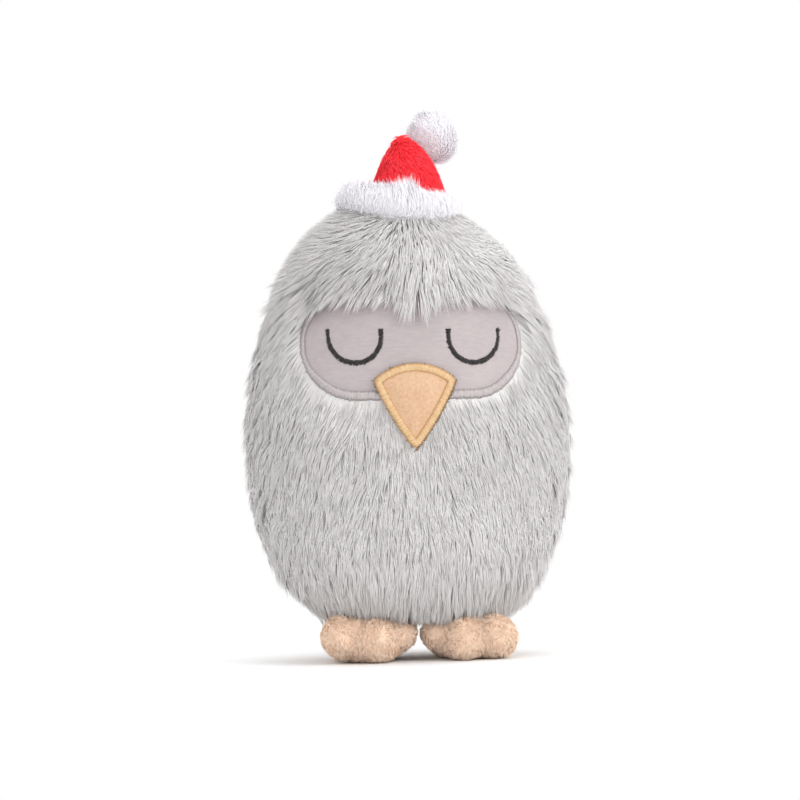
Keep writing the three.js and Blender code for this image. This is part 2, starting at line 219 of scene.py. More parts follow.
# %% The floor, the world and the lamps
FLOOR_HALF = 6
SHADOW_REACH = 0.16
FADED_AT = 0.5
AMBIENT = 0.96


def seen_directly(tree):
    """1 for rays that show the background itself, straight, in gloss or through glass."""
    path = tree.node("ShaderNodeLightPath", output="Is Camera Ray")
    return path + path.other("Is Glossy Ray") + path.other("Is Transmission Ray")


floor_shape = bmesh.new()
bmesh.ops.create_grid(floor_shape, x_segments=1, y_segments=1, size=FLOOR_HALF)
floor_mesh = bpy.data.meshes.new("floor")
floor_shape.to_mesh(floor_mesh)
floor = add_object("floor", floor_mesh)

table_top = Finish("table_top", 0.9, specular=0.0)
table_top.set("Base Color", (0.93, 0.93, 0.93, 1))
far = table_top.node(
    "ShaderNodeVectorMath", {"operation": "LENGTH"}, {0: table_top.place_on_object()}, "Value"
)
fade = table_top.node(
    "ShaderNodeMapRange",
    {"interpolation_type": "SMOOTHSTEP"},
    {"Value": far, "From Min": SHADOW_REACH, "From Max": FADED_AT},
)
glow = table_top.node("ShaderNodeEmission", inputs={"Color": WHITE, "Strength": 1.0})
lit = Wire(table_top, table_top.surface.outputs[0])
shown = {0: fade * seen_directly(table_top), 1: lit, 2: glow}
drawn = table_top.nodes["Material Output"].inputs["Surface"]
table_top.feed(drawn, table_top.node("ShaderNodeMixShader", inputs=shown))
floor_mesh.materials.append(table_top.material)

world = bpy.data.worlds.new("studio")
bpy.context.scene.world = world
sky = Tree(world)
levels = {"Value": seen_directly(sky), "To Min": AMBIENT, "To Max": 1.0}
sky.feed(sky.nodes["Background"].inputs["Strength"], sky.node("ShaderNodeMapRange", inputs=levels))
sky.feed(sky.nodes["Background"].inputs["Color"], WHITE)


def lamp(name, place, size, watts):
    light = bpy.data.lights.new(name, "AREA")
    light.energy = watts
    light.shape = "DISK"
    light.size = size
    toward_owl = Vector((0, 0, WIDEST)) - Vector(place)
    add_object(name, light, place, toward_owl.to_track_quat("-Z", "Y"))


lamp("key_lamp", (1.05, -1.0, 0.9), size=1.1, watts=11.3)
lamp("fill_lamp", (-0.2, -1.4, 0.1), size=0.8, watts=2.8)
lamp("top_lamp", (0.1, 0.1, 1.4), size=0.9, watts=4.5)
lamp("back_lamp", (-0.4, 1.3, 0.6), size=0.9, watts=3.0)
bpy.context.scene.view_settings.view_transform = "Standard"
print("floor, world and 4 lamps")

# %% [markdown]
# The body is half an ellipse above its widest level and a squarer curve below it, flattened from
# front to back. One formula gives its surface, so that cloth, pile and embroidery all follow it:
# where the surface is at a place in the front view, and how deep any point lies under the tips.

# %% The body's form as formulas
HALF_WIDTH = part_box("front_panel")[1].x
HALF_DEPTH = -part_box("front_panel")[0].y
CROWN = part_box("front_panel")[1].z
CROWN_RISE = CROWN - WIDEST
CROWN_POWER = 2
BASE_POWER = 2.6


def share_of_width(z, inset):
    """The body's half width at a height, as a share of its widest."""
    above, below = (z - WIDEST) / (CROWN_RISE - inset), (WIDEST - z) / (BASE_DROP - inset)
    rise = np.where(z > WIDEST, above, below)
    power = np.where(z > WIDEST, CROWN_POWER, BASE_POWER)
    return np.clip(1 - np.clip(rise, 0, 1) ** power, 0, 1) ** (1 / power)


def on_front(x, z, depth):
    """Points of the front, given in the front view, at a depth under the tips of the pile."""
    inner = share_of_width(z, depth) ** 2 - (x / (HALF_WIDTH - depth)) ** 2
    y = -(HALF_DEPTH - depth) * np.sqrt(np.clip(inner, 0, 1))
    return np.stack([x, y, z], axis=-1)


def depth_and_normal(points):
    """How deep points lie under the tips of the pile, and which way is out there."""
    x, y, z = points.T
    flat = (x / HALF_WIDTH) ** 2 + (y / HALF_DEPTH) ** 2
    upper = z > WIDEST
    level = np.where(upper, (z - WIDEST) / CROWN_RISE, (WIDEST - z) / BASE_DROP).clip(0, None)
    power = BASE_POWER / 2
    value = np.where(upper, flat + level**2, flat**power + level**BASE_POWER) - 1
    sideways = np.where(upper, 1, power * np.maximum(flat, 1e-9) ** (power - 1))
    upward = np.where(
        upper, 2 * level / CROWN_RISE, -BASE_POWER * level ** (BASE_POWER - 1) / BASE_DROP
    )
    slope = np.stack(
        [sideways * 2 * x / HALF_WIDTH**2, sideways * 2 * y / HALF_DEPTH**2, upward], axis=-1
    )
    steep = np.linalg.norm(slope, axis=1)
    return -value / steep, slope / steep[:, None]


print("body", [round(v / MM, 1) for v in (HALF_WIDTH, HALF_DEPTH, WIDEST, CROWN)], "mm")

# %% [markdown]
# The face patch is a rectangle with round corners, and the beak is where three discs overlap, one
# for each of its bowed edges. Both are kept as distances to their outline in the front view. The
# same distances then shape the cloth, lead the stitches round the edge and keep the pile away.

# %% The outlines of the face and the beak
FACE_LOW, FACE_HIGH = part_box("face_border")
FACE_MIDDLE = np.array([0, (FACE_LOW.z + FACE_HIGH.z) / 2])
FACE_HALF = np.array([FACE_HIGH.x, (FACE_HIGH.z - FACE_LOW.z) / 2])
FACE_CORNER = 20 * MM
FACE_TURN = 1.0
BEAK_LOW, BEAK_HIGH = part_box("beak_border")
BEAK_TOP = BEAK_LOW.z + 27.8 * MM
BEAK_BOWS = np.array([6.6, 1.1, 1.1]) * MM
BEAK_SHIFT = np.array([-0.8, -0.9]) * MM
BEAK_REACHES_RIGHT = np.array([0.8, 0]) * MM


def turned(points, degrees):
    """Points of the front view, turned clockwise about the middle of the face."""
    cos, sin = math.cos(math.radians(degrees)), math.sin(math.radians(degrees))
    return FACE_MIDDLE + (points - FACE_MIDDLE) @ np.array([[cos, -sin], [sin, cos]])


def face_distance(points):
    """How far points of the front view lie outside the face's edge."""
    beyond = np.abs(turned(points, -FACE_TURN) - FACE_MIDDLE) - (FACE_HALF - FACE_CORNER)
    outside = np.linalg.norm(np.maximum(beyond, 0), axis=-1)
    return outside + np.minimum(beyond.max(axis=-1), 0) - FACE_CORNER


def bowed_disc(start, end, bow):
    """The disc whose rim runs from start to end and bows out by bow, as its middle and radius."""
    half = (end - start) / 2
    outward = np.array([half[1], -half[0]]) / np.linalg.norm(half)
    radius = (half @ half + bow * bow) / (2 * bow)
    return start + half + outward * (bow - radius), radius


beak_corners = [(BEAK_HIGH.x, BEAK_TOP), (-BEAK_HIGH.x, BEAK_TOP), (0, BEAK_LOW.z)]
beak_corners = turned(np.array(beak_corners), FACE_TURN) + BEAK_SHIFT
beak_corners[0] += BEAK_REACHES_RIGHT
BEAK_MIDDLE = beak_corners.sum(axis=0) / 3
BEAK_DISCS = list(map(bowed_disc, beak_corners, np.roll(beak_corners, -1, axis=0), BEAK_BOWS))


def beak_distance(points):
    """How far points of the front view lie outside the beak's edge."""
    return np.max(
        [np.linalg.norm(points - middle, axis=-1) - radius for middle, radius in BEAK_DISCS], axis=0
    )


print("beak discs", [round(float(radius) / MM, 1) for _, radius in BEAK_DISCS], "mm")

# %% [markdown]
# An outline that is known as a distance still has to be drawn as a line. Rays go out from its
# middle, and halving the step again and again finds where each of them leaves the shape. Points
# at even steps along that line are where stitches will lie.

# %% Where rays leave a shape, and even points round an outline
EDGE_SAMPLES = 1441


def furthest_inside(is_inside, count, limit, halvings):
    """For each of some rays, how far along it is still inside."""
    near, far_off = np.zeros(count), np.full(count, limit)
    for _ in range(halvings):
        tried = (near + far_off) / 2
        inside = is_inside(tried[:, None])
        near, far_off = np.where(inside, tried, near), np.where(inside, far_off, tried)
    return near


def pointing(angles):
    """Directions in the front view."""
    return np.stack([np.cos(angles), np.sin(angles)], axis=-1)


def reach_to_edge(distance, middle, shrink, angles):
    """How far the outline, drawn in by shrink, lies from a middle at each angle."""
    ways = pointing(angles)
    return furthest_inside(
        lambda reach: distance(middle + reach * ways) < -shrink,
        len(angles),
        HALF_WIDTH,
        halvings=40,
    )


def edge_line(distance, middle, shrink, spacing):
    """Evenly spaced points round an outline in the front view, and the directions out of it."""
    angles = np.linspace(0, 2 * np.pi, EDGE_SAMPLES)
    line = middle + reach_to_edge(distance, middle, shrink, angles)[:, None] * pointing(angles)
    along = np.concatenate([[0], np.cumsum(np.linalg.norm(np.diff(line, axis=0), axis=1))])
    count = round(along[-1] / spacing)
    stops = np.arange(count) * along[-1] / count
    points = np.stack([np.interp(stops, along, line[:, i]) for i in (0, 1)], axis=-1)
    ahead = np.roll(points, -2, axis=0) - np.roll(points, 2, axis=0)
    ahead /= np.linalg.norm(ahead, axis=1)[:, None]
    return points, np.stack([ahead[:, 1], -ahead[:, 0]], axis=-1)


print("the beak is", len(edge_line(beak_distance, BEAK_MIDDLE, 0, MM)[0]), "mm round")

# %% [markdown]
# Pile and stitches are the same thing to build: a thin closed rod that is bent along a curve and
# copied many thousands of times. The rod is a cone or a cylinder, cut by planes so that it can
# bend. NumPy then lays a copy along every curve at once, which is far faster than a loop.

# %% The rod that every strand and stitch is a copy of
MERGE = 1e-6
CAP_STRIP = 0.04
CAP_HALF = 0.4
ROUND_FROM = 0.25
ROUND_SPAN = 0.45


def sliced(shape, place, outward, **clear):
    """Cuts a shape's faces along a plane."""
    everything = shape.verts[:] + shape.edges[:] + shape.faces[:]
    bmesh.ops.bisect_plane(
        shape, geom=everything, dist=MERGE, plane_co=place, plane_no=outward, **clear
    )


class Rod:
    """A closed rod of unit length and radius, as arrays that can be copied along curves."""

    def __init__(self, sides, cuts, end_radius, swell=0.0, flat=1.0, smooth=True):
        self.smooth = smooth
        shape = bmesh.new()
        bmesh.ops.create_cone(
            shape, cap_ends=True, segments=sides, radius1=1, radius2=end_radius, depth=1,
            matrix=Matrix.Translation((0, 0, 0.5)),
        )
        bmesh.ops.remove_doubles(shape, verts=shape.verts, dist=MERGE)
        for cut in range(1, cuts + 1):
            sliced(shape, (0, 0, cut / (cuts + 1)), (0, 0, 1))
        for vert in shape.verts:
            vert.co.xy *= 1 + swell * math.sin(math.pi * vert.co.z)
            vert.co.y *= flat
        bmesh.ops.triangulate(shape, faces=shape.faces)
        shape.verts.index_update()
        places = np.array([vert.co for vert in shape.verts])
        self.across = places[:, :2]
        self.along = places[:, 2]
        self.faces = np.array([[vert.index for vert in face.verts] for face in shape.faces])
        self.uvs = np.array([self.unrolled(face) for face in shape.faces])
        shape.free()

    @staticmethod
    def unrolled(face):
        """A face's corners on a flat strip: round the rod, then along it, with a cap at each end."""
        middle = face.calc_center_median()
        if abs(face.normal.z) > 0.99:
            level = middle.z * (1 - CAP_STRIP) + CAP_STRIP / 2
            return [(0.5 + CAP_HALF * v.co.x, level + CAP_STRIP / 2 * v.co.y) for v in face.verts]
        facing = math.atan2(middle.y, middle.x)
        corners = []
        for vert in face.verts:
            angle = facing
            if vert.co.xy.length > 1e-4:
                angle += math.remainder(math.atan2(vert.co.y, vert.co.x) - facing, 2 * math.pi)
            round_rod = (angle / (2 * math.pi) + 0.5) * ROUND_SPAN + ROUND_FROM
            corners.append((round_rod, CAP_STRIP + (1 - 2 * CAP_STRIP) * vert.co.z))
        return corners


STRAND = Rod(sides=3, cuts=1, end_radius=0, swell=0.5, flat=0.3, smooth=False)
THREAD = Rod(sides=4, cuts=3, end_radius=1)
print("triangles in a strand", len(STRAND.faces), "and in a thread", len(THREAD.faces))

# %% [markdown]
# Each copy gets a tone. The tone is kept in the copy's UV map: the map is cut into columns, and a
# copy lies in the column of its tone with its root below and its tip above. A finish then reads
# the tone from the column and knows how far along the strand it is, and both survive a bake.

# %% Copy a rod along many curves
TONES = 32
UV_NAME = "OFBake"
TINY = 1e-12


def unit(vectors):
    return vectors / np.maximum(np.linalg.norm(vectors, axis=-1, keepdims=True), TINY)


def new_piece(name, mesh, finish):
    mesh.materials.append(finish.material)
    return add_object(name, mesh)


def rods_along(name, rod, starts, bends, ends, radii, tones, finish):
    """One mesh with a copy of the rod along each curve from start to end, drawn towards bend."""
    s = rod.along[None, :, None]
    first, second, third = (points[:, None, :] for points in (starts, bends, ends))
    centres = (1 - s) ** 2 * first + 2 * s * (1 - s) * second + s**2 * third
    tangents = unit((1 - s) * (second - first) + s * (third - second))
    aside = np.cross(bends - starts, ends - starts)
    aside[np.linalg.norm(aside, axis=1) < TINY] = (1, 0, 0)
    aside = unit(aside)[:, None, :]
    upright = unit(np.cross(tangents, aside))
    aside = np.cross(upright, tangents)
    reach = radii[:, None, None] * rod.across[None, :, :]
    points = centres + reach[..., :1] * aside + reach[..., 1:] * upright

    count, corners = len(starts), len(rod.along)
    faces = rod.faces[None] + np.arange(count)[:, None, None] * corners
    columns = np.floor(np.clip(tones, 0, 0.999) * TONES)
    uvs = np.repeat(rod.uvs[None], count, axis=0)
    uvs[..., 0] = (uvs[..., 0] + columns[:, None, None]) / TONES

    mesh = bpy.data.meshes.new(name)
    mesh.vertices.add(count * corners)
    mesh.vertices.foreach_set("co", points.astype(np.float32).ravel())
    mesh.loops.add(faces.size)
    mesh.loops.foreach_set("vertex_index", faces.astype(np.int32).ravel())
    mesh.polygons.add(faces.size // 3)
    mesh.polygons.foreach_set("loop_start", np.arange(0, faces.size, 3, dtype=np.int32))
    mesh.update(calc_edges=True)
    mesh.uv_layers.new(name=UV_NAME).data.foreach_set("uv", uvs.astype(np.float32).ravel())
    mesh.polygons.foreach_set("use_smooth", np.full(faces.size // 3, rod.smooth))
    return new_piece(name, mesh, finish)


def piece_from(name, shape, finish):
    """A bmesh as a smooth piece of its own."""
    mesh = bpy.data.meshes.new(name)
    bmesh.ops.recalc_face_normals(shape, faces=shape.faces)
    shape.to_mesh(mesh)
    shape.free()
    mesh.polygons.foreach_set("use_smooth", np.full(len(mesh.polygons), True))
    return new_piece(name, mesh, finish)


def belongs(piece, body, slot, *nodes):
    """Puts a piece on its body and hides the solids it stands for; slot is not used."""
    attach(piece, body)
    if nodes:
        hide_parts(*nodes)
    print(piece.name, "on", body, "with", len(piece.data.polygons), "faces")
    return piece


print("tones", TONES)

# %% [markdown]
# Strands grow out of a skin. Their roots are spread evenly over it: the triangles are laid end to
# end by area, and the roots are taken at equal steps along that line. An operator may make its
# faces in another order on another run, so they are sorted by place first, and the same strands
# grow each time.

# %% Spread roots over a skin
rng = np.random.default_rng(7)


def triangles_of(shape):
    """The corners of a skin's triangles and the normals there, in an order set by their places."""
    shape.normal_update()
    fans = []
    for face in shape.faces:
        ring = [(*vert.co, *vert.normal) for vert in face.verts]
        first = ring.index(min(ring))
        ring = ring[first:] + ring[:first]
        fans += [(ring[0], *pair) for pair in zip(ring[1:], ring[2:])]
    return np.split(np.array(sorted(fans)), 2, axis=-1)


def spread(shape, count):
    """Evenly spread points on a bmesh, with its smooth normals. The bmesh is used up."""
    corners, normals = triangles_of(shape)
    shape.free()
    crosses = np.cross(corners[:, 1] - corners[:, 0], corners[:, 2] - corners[:, 0])
    ends = np.cumsum(np.linalg.norm(crosses, axis=1))
    stops = (np.arange(count) + rng.random(count)) * ends[-1] / count
    chosen = np.searchsorted(ends, stops).clip(0, len(ends) - 1)
    one, two = rng.random((2, count))
    folded = one + two > 1
    one, two = np.where(folded, 1 - one, one), np.where(folded, 1 - two, two)
    shares = np.stack([1 - one - two, one, two], axis=-1)[..., None]
    return (corners[chosen] * shares).sum(axis=1), unit((normals[chosen] * shares).sum(axis=1))


print("seeded")

# %% [markdown]
# Neighbouring strands of real plush cling together in locks with a common point. A few strands
# are picked to lead, and every other strand follows its nearest leader. Locks also bend and change
# in tone together over larger areas, and a sum of a few random waves gives such smooth change.

# %% Gather strands in locks, and vary them smoothly
RIPPLE_WAVES = 7
MEAN_LENGTH = 1.7
SELDOM_PASSED = 1.5


def locks_of(points, per_lock):
    """Which strand leads each strand's lock."""
    leaders = rng.permutation(len(points))[: len(points) // per_lock]
    tree = KDTree(len(leaders))
    for i, place in enumerate(points[leaders]):
        tree.insert(place, i)
    tree.balance()
    return leaders[[tree.find(place)[1] for place in points]]


def ripple(points, size):
    """A smooth random value from about -1 to 1 that varies over a given size."""
    directions = rng.normal(size=(RIPPLE_WAVES, 3)) * 2 * np.pi / size / MEAN_LENGTH
    phases = rng.random(RIPPLE_WAVES) * 2 * np.pi
    waves = np.sin(points @ directions.T + phases).sum(axis=1)
    return waves / math.sqrt(RIPPLE_WAVES / 2) / SELDOM_PASSED


def tone_steps(count, size, leader=slice(None)):
    """A random step in tone for each strand, or the same one for all strands with one leader."""
    return size * (rng.random(count)[leader] - 0.5)


def eased(values, low, high):
    """0 below low, 1 above high, and a smooth ramp between."""
    share = np.clip((values - low) / (high - low), 0, 1)
    return share * share * (3 - 2 * share)


def bell(values, width, power=2):
    """1 at 0, and falling to nothing past a width to both sides."""
    return np.exp(-((values / width) ** power))


def laid_along(ways, normals):
    """Directions turned so that they lie along a surface."""
    return unit(ways - normals * (ways * normals).sum(axis=1, keepdims=True))


print("waves in a ripple", RIPPLE_WAVES)

# %% [markdown]
# The finishes come in families. Pile is matt, its tone changes from lock to lock, and its roots
# have painted light: a lighter colour that stands in for light in the gaps between strands, and
# a darker one on the red, which is painted shade. Cloth, velour and felt have no strands of their
# own here, so noise gives their nap, in colour and in bump. Thread is smoother and catches light,
# and each stitch has painted shade at its ends, where it dives into the cloth.

# %% Finishes
# How far up a strand its painted root colour reaches.
PAINTED_ROOT_REACH = 0.5
PATCHES = 0.12
NAP_SHARE = 0.65
# Where a stitch shows its painted shade: at both ends, fading out towards its middle.
PAINTED_END_SHADE = [(0.05, (1, 1, 1)), (0.28, (0, 0, 0)), (0.72, (0, 0, 0)), (0.95, (1, 1, 1))]


def coloured_by_tone(finish, dark, light):
    """The colour for a rod's tone, and how far along the rod a point lies."""
    place = finish.node("ShaderNodeUVMap", {"uv_map": UV_NAME})
    column = finish.node("ShaderNodeSeparateXYZ", inputs={0: place})
    tone = (column * TONES).floor() * (1 / TONES)
    return finish.mixed(tone, dark, light), column.other("Y")


def pile_finish(name, dark, light, root, sheen=0.0):
    """Pile whose tone runs from dark to light, with a root colour of painted light and shade."""
    finish = Finish(name, 0.85, sheen)
    colour, along = coloured_by_tone(finish, dark, light)
    past_painted_root = finish.node("ShaderNodeMapRange", inputs={"Value": along, "From Max": PAINTED_ROOT_REACH})
    finish.set("Base Color", finish.mixed(past_painted_root, root, colour))
    return finish


def cloth_finish(name, colour, shade, nap=900, height=0.2 * MM, stretch=(1, 1, 1)):
    """Brushed cloth: a fine nap and broad patches of tone."""
    finish = Finish(name, 0.95, sheen=0.1)
    fine = finish.noise(nap, 4, 0.65, finish.stretched(stretch))
    broad = finish.noise(nap * PATCHES, 2, 0.5, finish.place_on_object())
    tone = fine * NAP_SHARE + broad * (1 - NAP_SHARE)
    ends = {"Value": tone, "From Min": 0.3, "From Max": 0.7}
    share = finish.node("ShaderNodeMapRange", inputs=ends)
    finish.set("Base Color", finish.mixed(share, shade, colour))
    finish.bumped(fine, height)
    return finish


def thread_finish(name, dark, light, edge):
    """Satin-stitch thread: each stitch has its own tone, and painted shade at both ends."""
    finish = Finish(name, 0.5, sheen=0.1, specular=0.4)
    colour, along = coloured_by_tone(finish, dark, light)
    at_ends = finish.node("ShaderNodeValToRGB", {"stops": PAINTED_END_SHADE}, {0: along})
    finish.set("Base Color", finish.mixed(at_ends, colour, edge))
    return finish


# The third colour of each pile is painted at its roots: lighter than the tips on the grey and white
# pile, as painted light in the gaps between strands, about as light as the lightest tips on the
# peach, and darker on the red, as painted shade.
grey_pile = pile_finish(
    "grey_pile", (0.60, 0.585, 0.58), (0.68, 0.665, 0.66), (0.745, 0.73, 0.72), sheen=0.15
)
white_pile = pile_finish(
    "white_pile", (0.86, 0.845, 0.88), (0.90, 0.88, 0.915), (0.97, 0.95, 0.98), sheen=0.5
)
red_pile = pile_finish("red_pile", (0.93, 0.035, 0.05), (0.98, 0.06, 0.085), (0.90, 0.02, 0.035))
peach_pile = pile_finish(
    "peach_pile", (0.89, 0.68, 0.52), (0.94, 0.745, 0.59), (0.94, 0.735, 0.58), sheen=0.4
)
grey_cloth = cloth_finish("grey_cloth", (0.68, 0.665, 0.655), (0.62, 0.605, 0.595))
white_cloth = cloth_finish("white_cloth", (0.96, 0.94, 0.97), (0.92, 0.90, 0.93))
red_cloth = cloth_finish("red_cloth", (0.90, 0.02, 0.035), (0.80, 0.015, 0.028))
peach_cloth = cloth_finish("peach_cloth", (0.92, 0.71, 0.55), (0.88, 0.66, 0.50))
velour = cloth_finish(
    "velour", (0.46, 0.405, 0.41), (0.38, 0.335, 0.34), 700, 0.12 * MM, stretch=(0.3, 1, 1.6)
)
felt = cloth_finish("felt", (0.69, 0.48, 0.33), (0.52, 0.31, 0.18), 800, 0.3 * MM)
fibre = cloth_finish("fibre", (0.9, 0.9, 0.88), (0.8, 0.8, 0.78), 300, 0.6 * MM)
# The third colour of each thread is painted shade at the ends of its stitches, so that a border
# looks rolled and lit along its middle.
face_thread = thread_finish(
    "face_thread", (0.49, 0.44, 0.445), (0.56, 0.51, 0.51), (0.29, 0.255, 0.265)
)
beak_thread = thread_finish(
    "beak_thread", (0.66, 0.45, 0.24), (0.76, 0.56, 0.34), (0.50, 0.28, 0.11)
)
brown_thread = thread_finish(
    "brown_thread", (0.16, 0.10, 0.06), (0.30, 0.19, 0.10), (0.12, 0.08, 0.05)
)
black_thread = thread_finish(
    "black_thread", (0.008, 0.006, 0.007), (0.035, 0.028, 0.03), (0.01, 0.008, 0.009)
)
print("materials", len(bpy.data.materials))

# %% [markdown]
# The body's cloth is an egg, spun from its profile and pressed flatter from front to back. The
# profile is a little fuller at the head than the formula, as the stuffing pushes the head out.

# %% The egg of the body
CLOTH_DEPTH = 3.3 * MM
EGG_SIDES = 96
EGG_STEPS = 56
HEAD_LEVELS = np.array([147, 158, 168, 180]) * MM
HEAD_FULLNESS = np.array([0, 2.0, 2.4, 1.8]) * MM
FULLNESS_IN_CLOTH = 0.8


def profile_point(angle, depth):
    """A point of the egg's outline: how far out, and how high."""
    height = WIDEST + CROWN_RISE * math.sin(angle)
    depth -= FULLNESS_IN_CLOTH * np.interp(height, HEAD_LEVELS, HEAD_FULLNESS)
    if angle < 0:
        power, rise = BASE_POWER, depth - BASE_DROP
    else:
        power, rise = CROWN_POWER, CROWN_RISE - depth
    out = (HALF_WIDTH - depth) * max(math.cos(angle), 0) ** (2 / power)
    return out, 0, WIDEST + rise * abs(math.sin(angle)) ** (2 / power)


def spun(points, steps, closed=False):
    """The form that a line sweeps when it turns once round the Z axis."""
    shape = bmesh.new()
    line = [shape.verts.new(point) for point in points]
    followers = line[1:] + line[:1] if closed else line[1:]
    edges = [shape.edges.new(pair) for pair in zip(line, followers)]
    bmesh.ops.spin(
        shape, geom=line + edges, cent=(0, 0, 0), axis=(0, 0, 1), angle=2 * math.pi, steps=steps,
        use_merge=True,
    )
    bmesh.ops.remove_doubles(shape, verts=shape.verts, dist=MERGE)
    bmesh.ops.recalc_face_normals(shape, faces=shape.faces)
    return shape


def egg(depth):
    """The body's form at a depth under the tips of the pile."""
    angles = [math.pi * (step / EGG_STEPS - 0.5) for step in range(EGG_STEPS + 1)]
    shape = spun([profile_point(angle, depth) for angle in angles], EGG_SIDES)
    flatter = (HALF_DEPTH - depth) / (HALF_WIDTH - depth)
    bmesh.ops.scale(shape, vec=(1, flatter, 1), verts=shape.verts)
    return shape


print("the cloth lies", round(CLOTH_DEPTH / MM, 1), "mm under the tips of the pile")

# %% [markdown]
# A plush body is sewn from panels, and planes cut the egg along the same seams: one down each
# side, one down the back, and one round the base. The stuffing is a smaller egg inside, and random
# waves make it slightly uneven, as loose fibre is.

# %% The body's panels and stuffing
CLOTH_THICK = 0.9 * MM
STUFFING_DEPTH = 5.2 * MM
BASE_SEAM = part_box("base_panel")[1].z
SEAM_GAP = 0.15 * MM
FRONT_EDGE = ((0, -SEAM_GAP, 0), (0, 1, 0))
BACK_EDGE = ((0, SEAM_GAP, 0), (0, -1, 0))
LOWER_EDGE = ((0, 0, BASE_SEAM + SEAM_GAP), (0, 0, -1))
PANEL_CUTS = {
    "front_panel": [FRONT_EDGE, LOWER_EDGE],
    "back_left_panel": [BACK_EDGE, ((-SEAM_GAP, 0, 0), (1, 0, 0)), LOWER_EDGE],
    "back_right_panel": [BACK_EDGE, ((SEAM_GAP, 0, 0), (-1, 0, 0)), LOWER_EDGE],
    "base_panel": [((0, 0, BASE_SEAM - SEAM_GAP), (0, 0, 1))],
}


def thickened(piece, thickness):
    """Gives a skin its thickness, inwards."""
    wall = piece.modifiers.new("wall", "SOLIDIFY")
    wall.thickness = thickness
    wall.offset = -1
    return piece


def uneven(shape, size, height):
    """Presses a form in and out a little."""
    shape.normal_update()
    places = np.array([vert.co for vert in shape.verts])
    for vert, push in zip(shape.verts, ripple(places, size)):
        vert.co += vert.normal * float(push) * height
    return shape


for node, cuts in PANEL_CUTS.items():
    shape = egg(CLOTH_DEPTH)
    for place, outward in cuts:
        sliced(shape, place, outward, clear_outer=True)
    cloth = thickened(piece_from(f"{node}_cloth", shape, grey_cloth), CLOTH_THICK)
    belongs(cloth, "body", "grey_plush", node)
body_fibre = piece_from("body_fibre", uneven(egg(STUFFING_DEPTH), 20 * MM, 0.4 * MM), fibre)
belongs(body_fibre, "body", "stuffing", "body_stuffing")

# %% [markdown]
# The grey pile is combed down the body and outwards to both sides, more so the higher it grows,
# from a parting that winds over the head. Waves of two sizes and a turn of its own for each lock
# keep it from looking combed by a machine. Above the face, two places turn the fringe inwards.

# %% How the grey pile is combed
SWIRL_LEVELS = np.array([14, 40, 80, 104, 125, 150, 165, 184]) * MM
SWIRL_DEGREES = np.array([0, 8, 18, 20, 24, 50, 62, 66])
SWIRL_REACHES = 2.2
PARTING_LEVELS = np.array([120, 145, 160, 180]) * MM
PARTING = np.array([0, 4, 9, 5]) * MM
PARTING_WIDTH = 9 * MM
PARTING_CALM = 0.75
WAVE_SIZES = np.array([22, 6]) * MM
WAVE_DEGREES = [7, 4]
HEAD_WAVE_DEGREES = [9, 4]
LOCK_DEGREES = 5
FRINGE_TURNS = [(-33 * MM, 10 * MM, 24), (27 * MM, 11 * MM, -24)]
FRINGE_HEIGHT = 9 * MM


def lie_of_body(points, normals, leader):
    """The way the pile is combed: downhill, and outwards round the body."""
    across, level = points[:, 0], points[:, 2]
    downhill = laid_along(np.array([0, 0, -1]), normals)
    sideways = np.cross(normals, downhill)
    parting = across - np.interp(level, PARTING_LEVELS, PARTING)
    round_body = parting / np.hypot(parting, points[:, 1] * HALF_WIDTH / HALF_DEPTH)
    lean = np.radians(np.interp(level, SWIRL_LEVELS, SWIRL_DEGREES))
    lean *= np.tanh(SWIRL_REACHES * round_body) * (1 - PARTING_CALM * bell(parting, PARTING_WIDTH))
    on_head = eased(level, FACE_HIGH.z - 12 * MM, FACE_HIGH.z + 4 * MM)
    for size, degrees, on_head_too in zip(WAVE_SIZES, WAVE_DEGREES, HEAD_WAVE_DEGREES):
        lean += np.radians(degrees + on_head_too * on_head) * ripple(points, size)
    lean += np.radians(LOCK_DEGREES) * rng.normal(size=len(points))[leader]
    above_face = bell(level - FACE_HIGH.z, FRINGE_HEIGHT) * (points[:, 1] < 0)
    for place, width, degrees in FRINGE_TURNS:
        lean += math.radians(degrees) * above_face * bell(across - place, width)
    return np.cos(lean)[:, None] * downhill + np.sin(lean)[:, None] * sideways


print("leans up to", SWIRL_DEGREES.max(), "degrees")

# %% [markdown]
# Roots are spread over the whole egg. Those under the face, the beak or the hat are left out, as
# the real pile is sheared away or covered there. Masks then say where each root is: beside and
# below the face, low on the body, between the feet, on the head, or near the hat.

# %% Where the grey pile grows
BODY_STRANDS = 115000
STRANDS_A_LOCK = 18
HAT_HIDES_ABOVE = 183 * MM
FACE_CLEAR = 0.3 * MM
BEAK_CLEAR = 0.2 * MM
BEHIND = 1

roots, normals = spread(egg(CLOTH_DEPTH), BODY_STRANDS)
in_front = roots[:, 1] < 0
off_face, off_beak = (
    np.where(in_front, distance(roots[:, [0, 2]]), BEHIND)
    for distance in (face_distance, beak_distance)
)
grows = (off_face > FACE_CLEAR) & (off_beak > BEAK_CLEAR) & (roots[:, 2] < HAT_HIDES_ABOVE)
roots, normals, in_front = roots[grows], normals[grows], in_front[grows]
off_edge = np.minimum(off_face, off_beak)[grows]
across, level = roots[:, 0], roots[:, 2]
count = len(roots)
lock_leader = locks_of(roots, STRANDS_A_LOCK)
lie = lie_of_body(roots, normals, lock_leader)

under_face = eased(FACE_MIDDLE[1] + 4 * MM - level, 0, 12 * MM)
beside = under_face * (1 - eased(off_edge, 1 * MM, 13 * MM))
low_down = 1 - eased(level, 15 * MM, 32 * MM)
between_feet = low_down * bell(across, 13 * MM, power=4)
on_head = eased(level, FACE_HIGH.z + 2 * MM, FACE_HIGH.z + 14 * MM)
near_hat = eased(level, 157 * MM, 168 * MM)
print("grey strands", count)

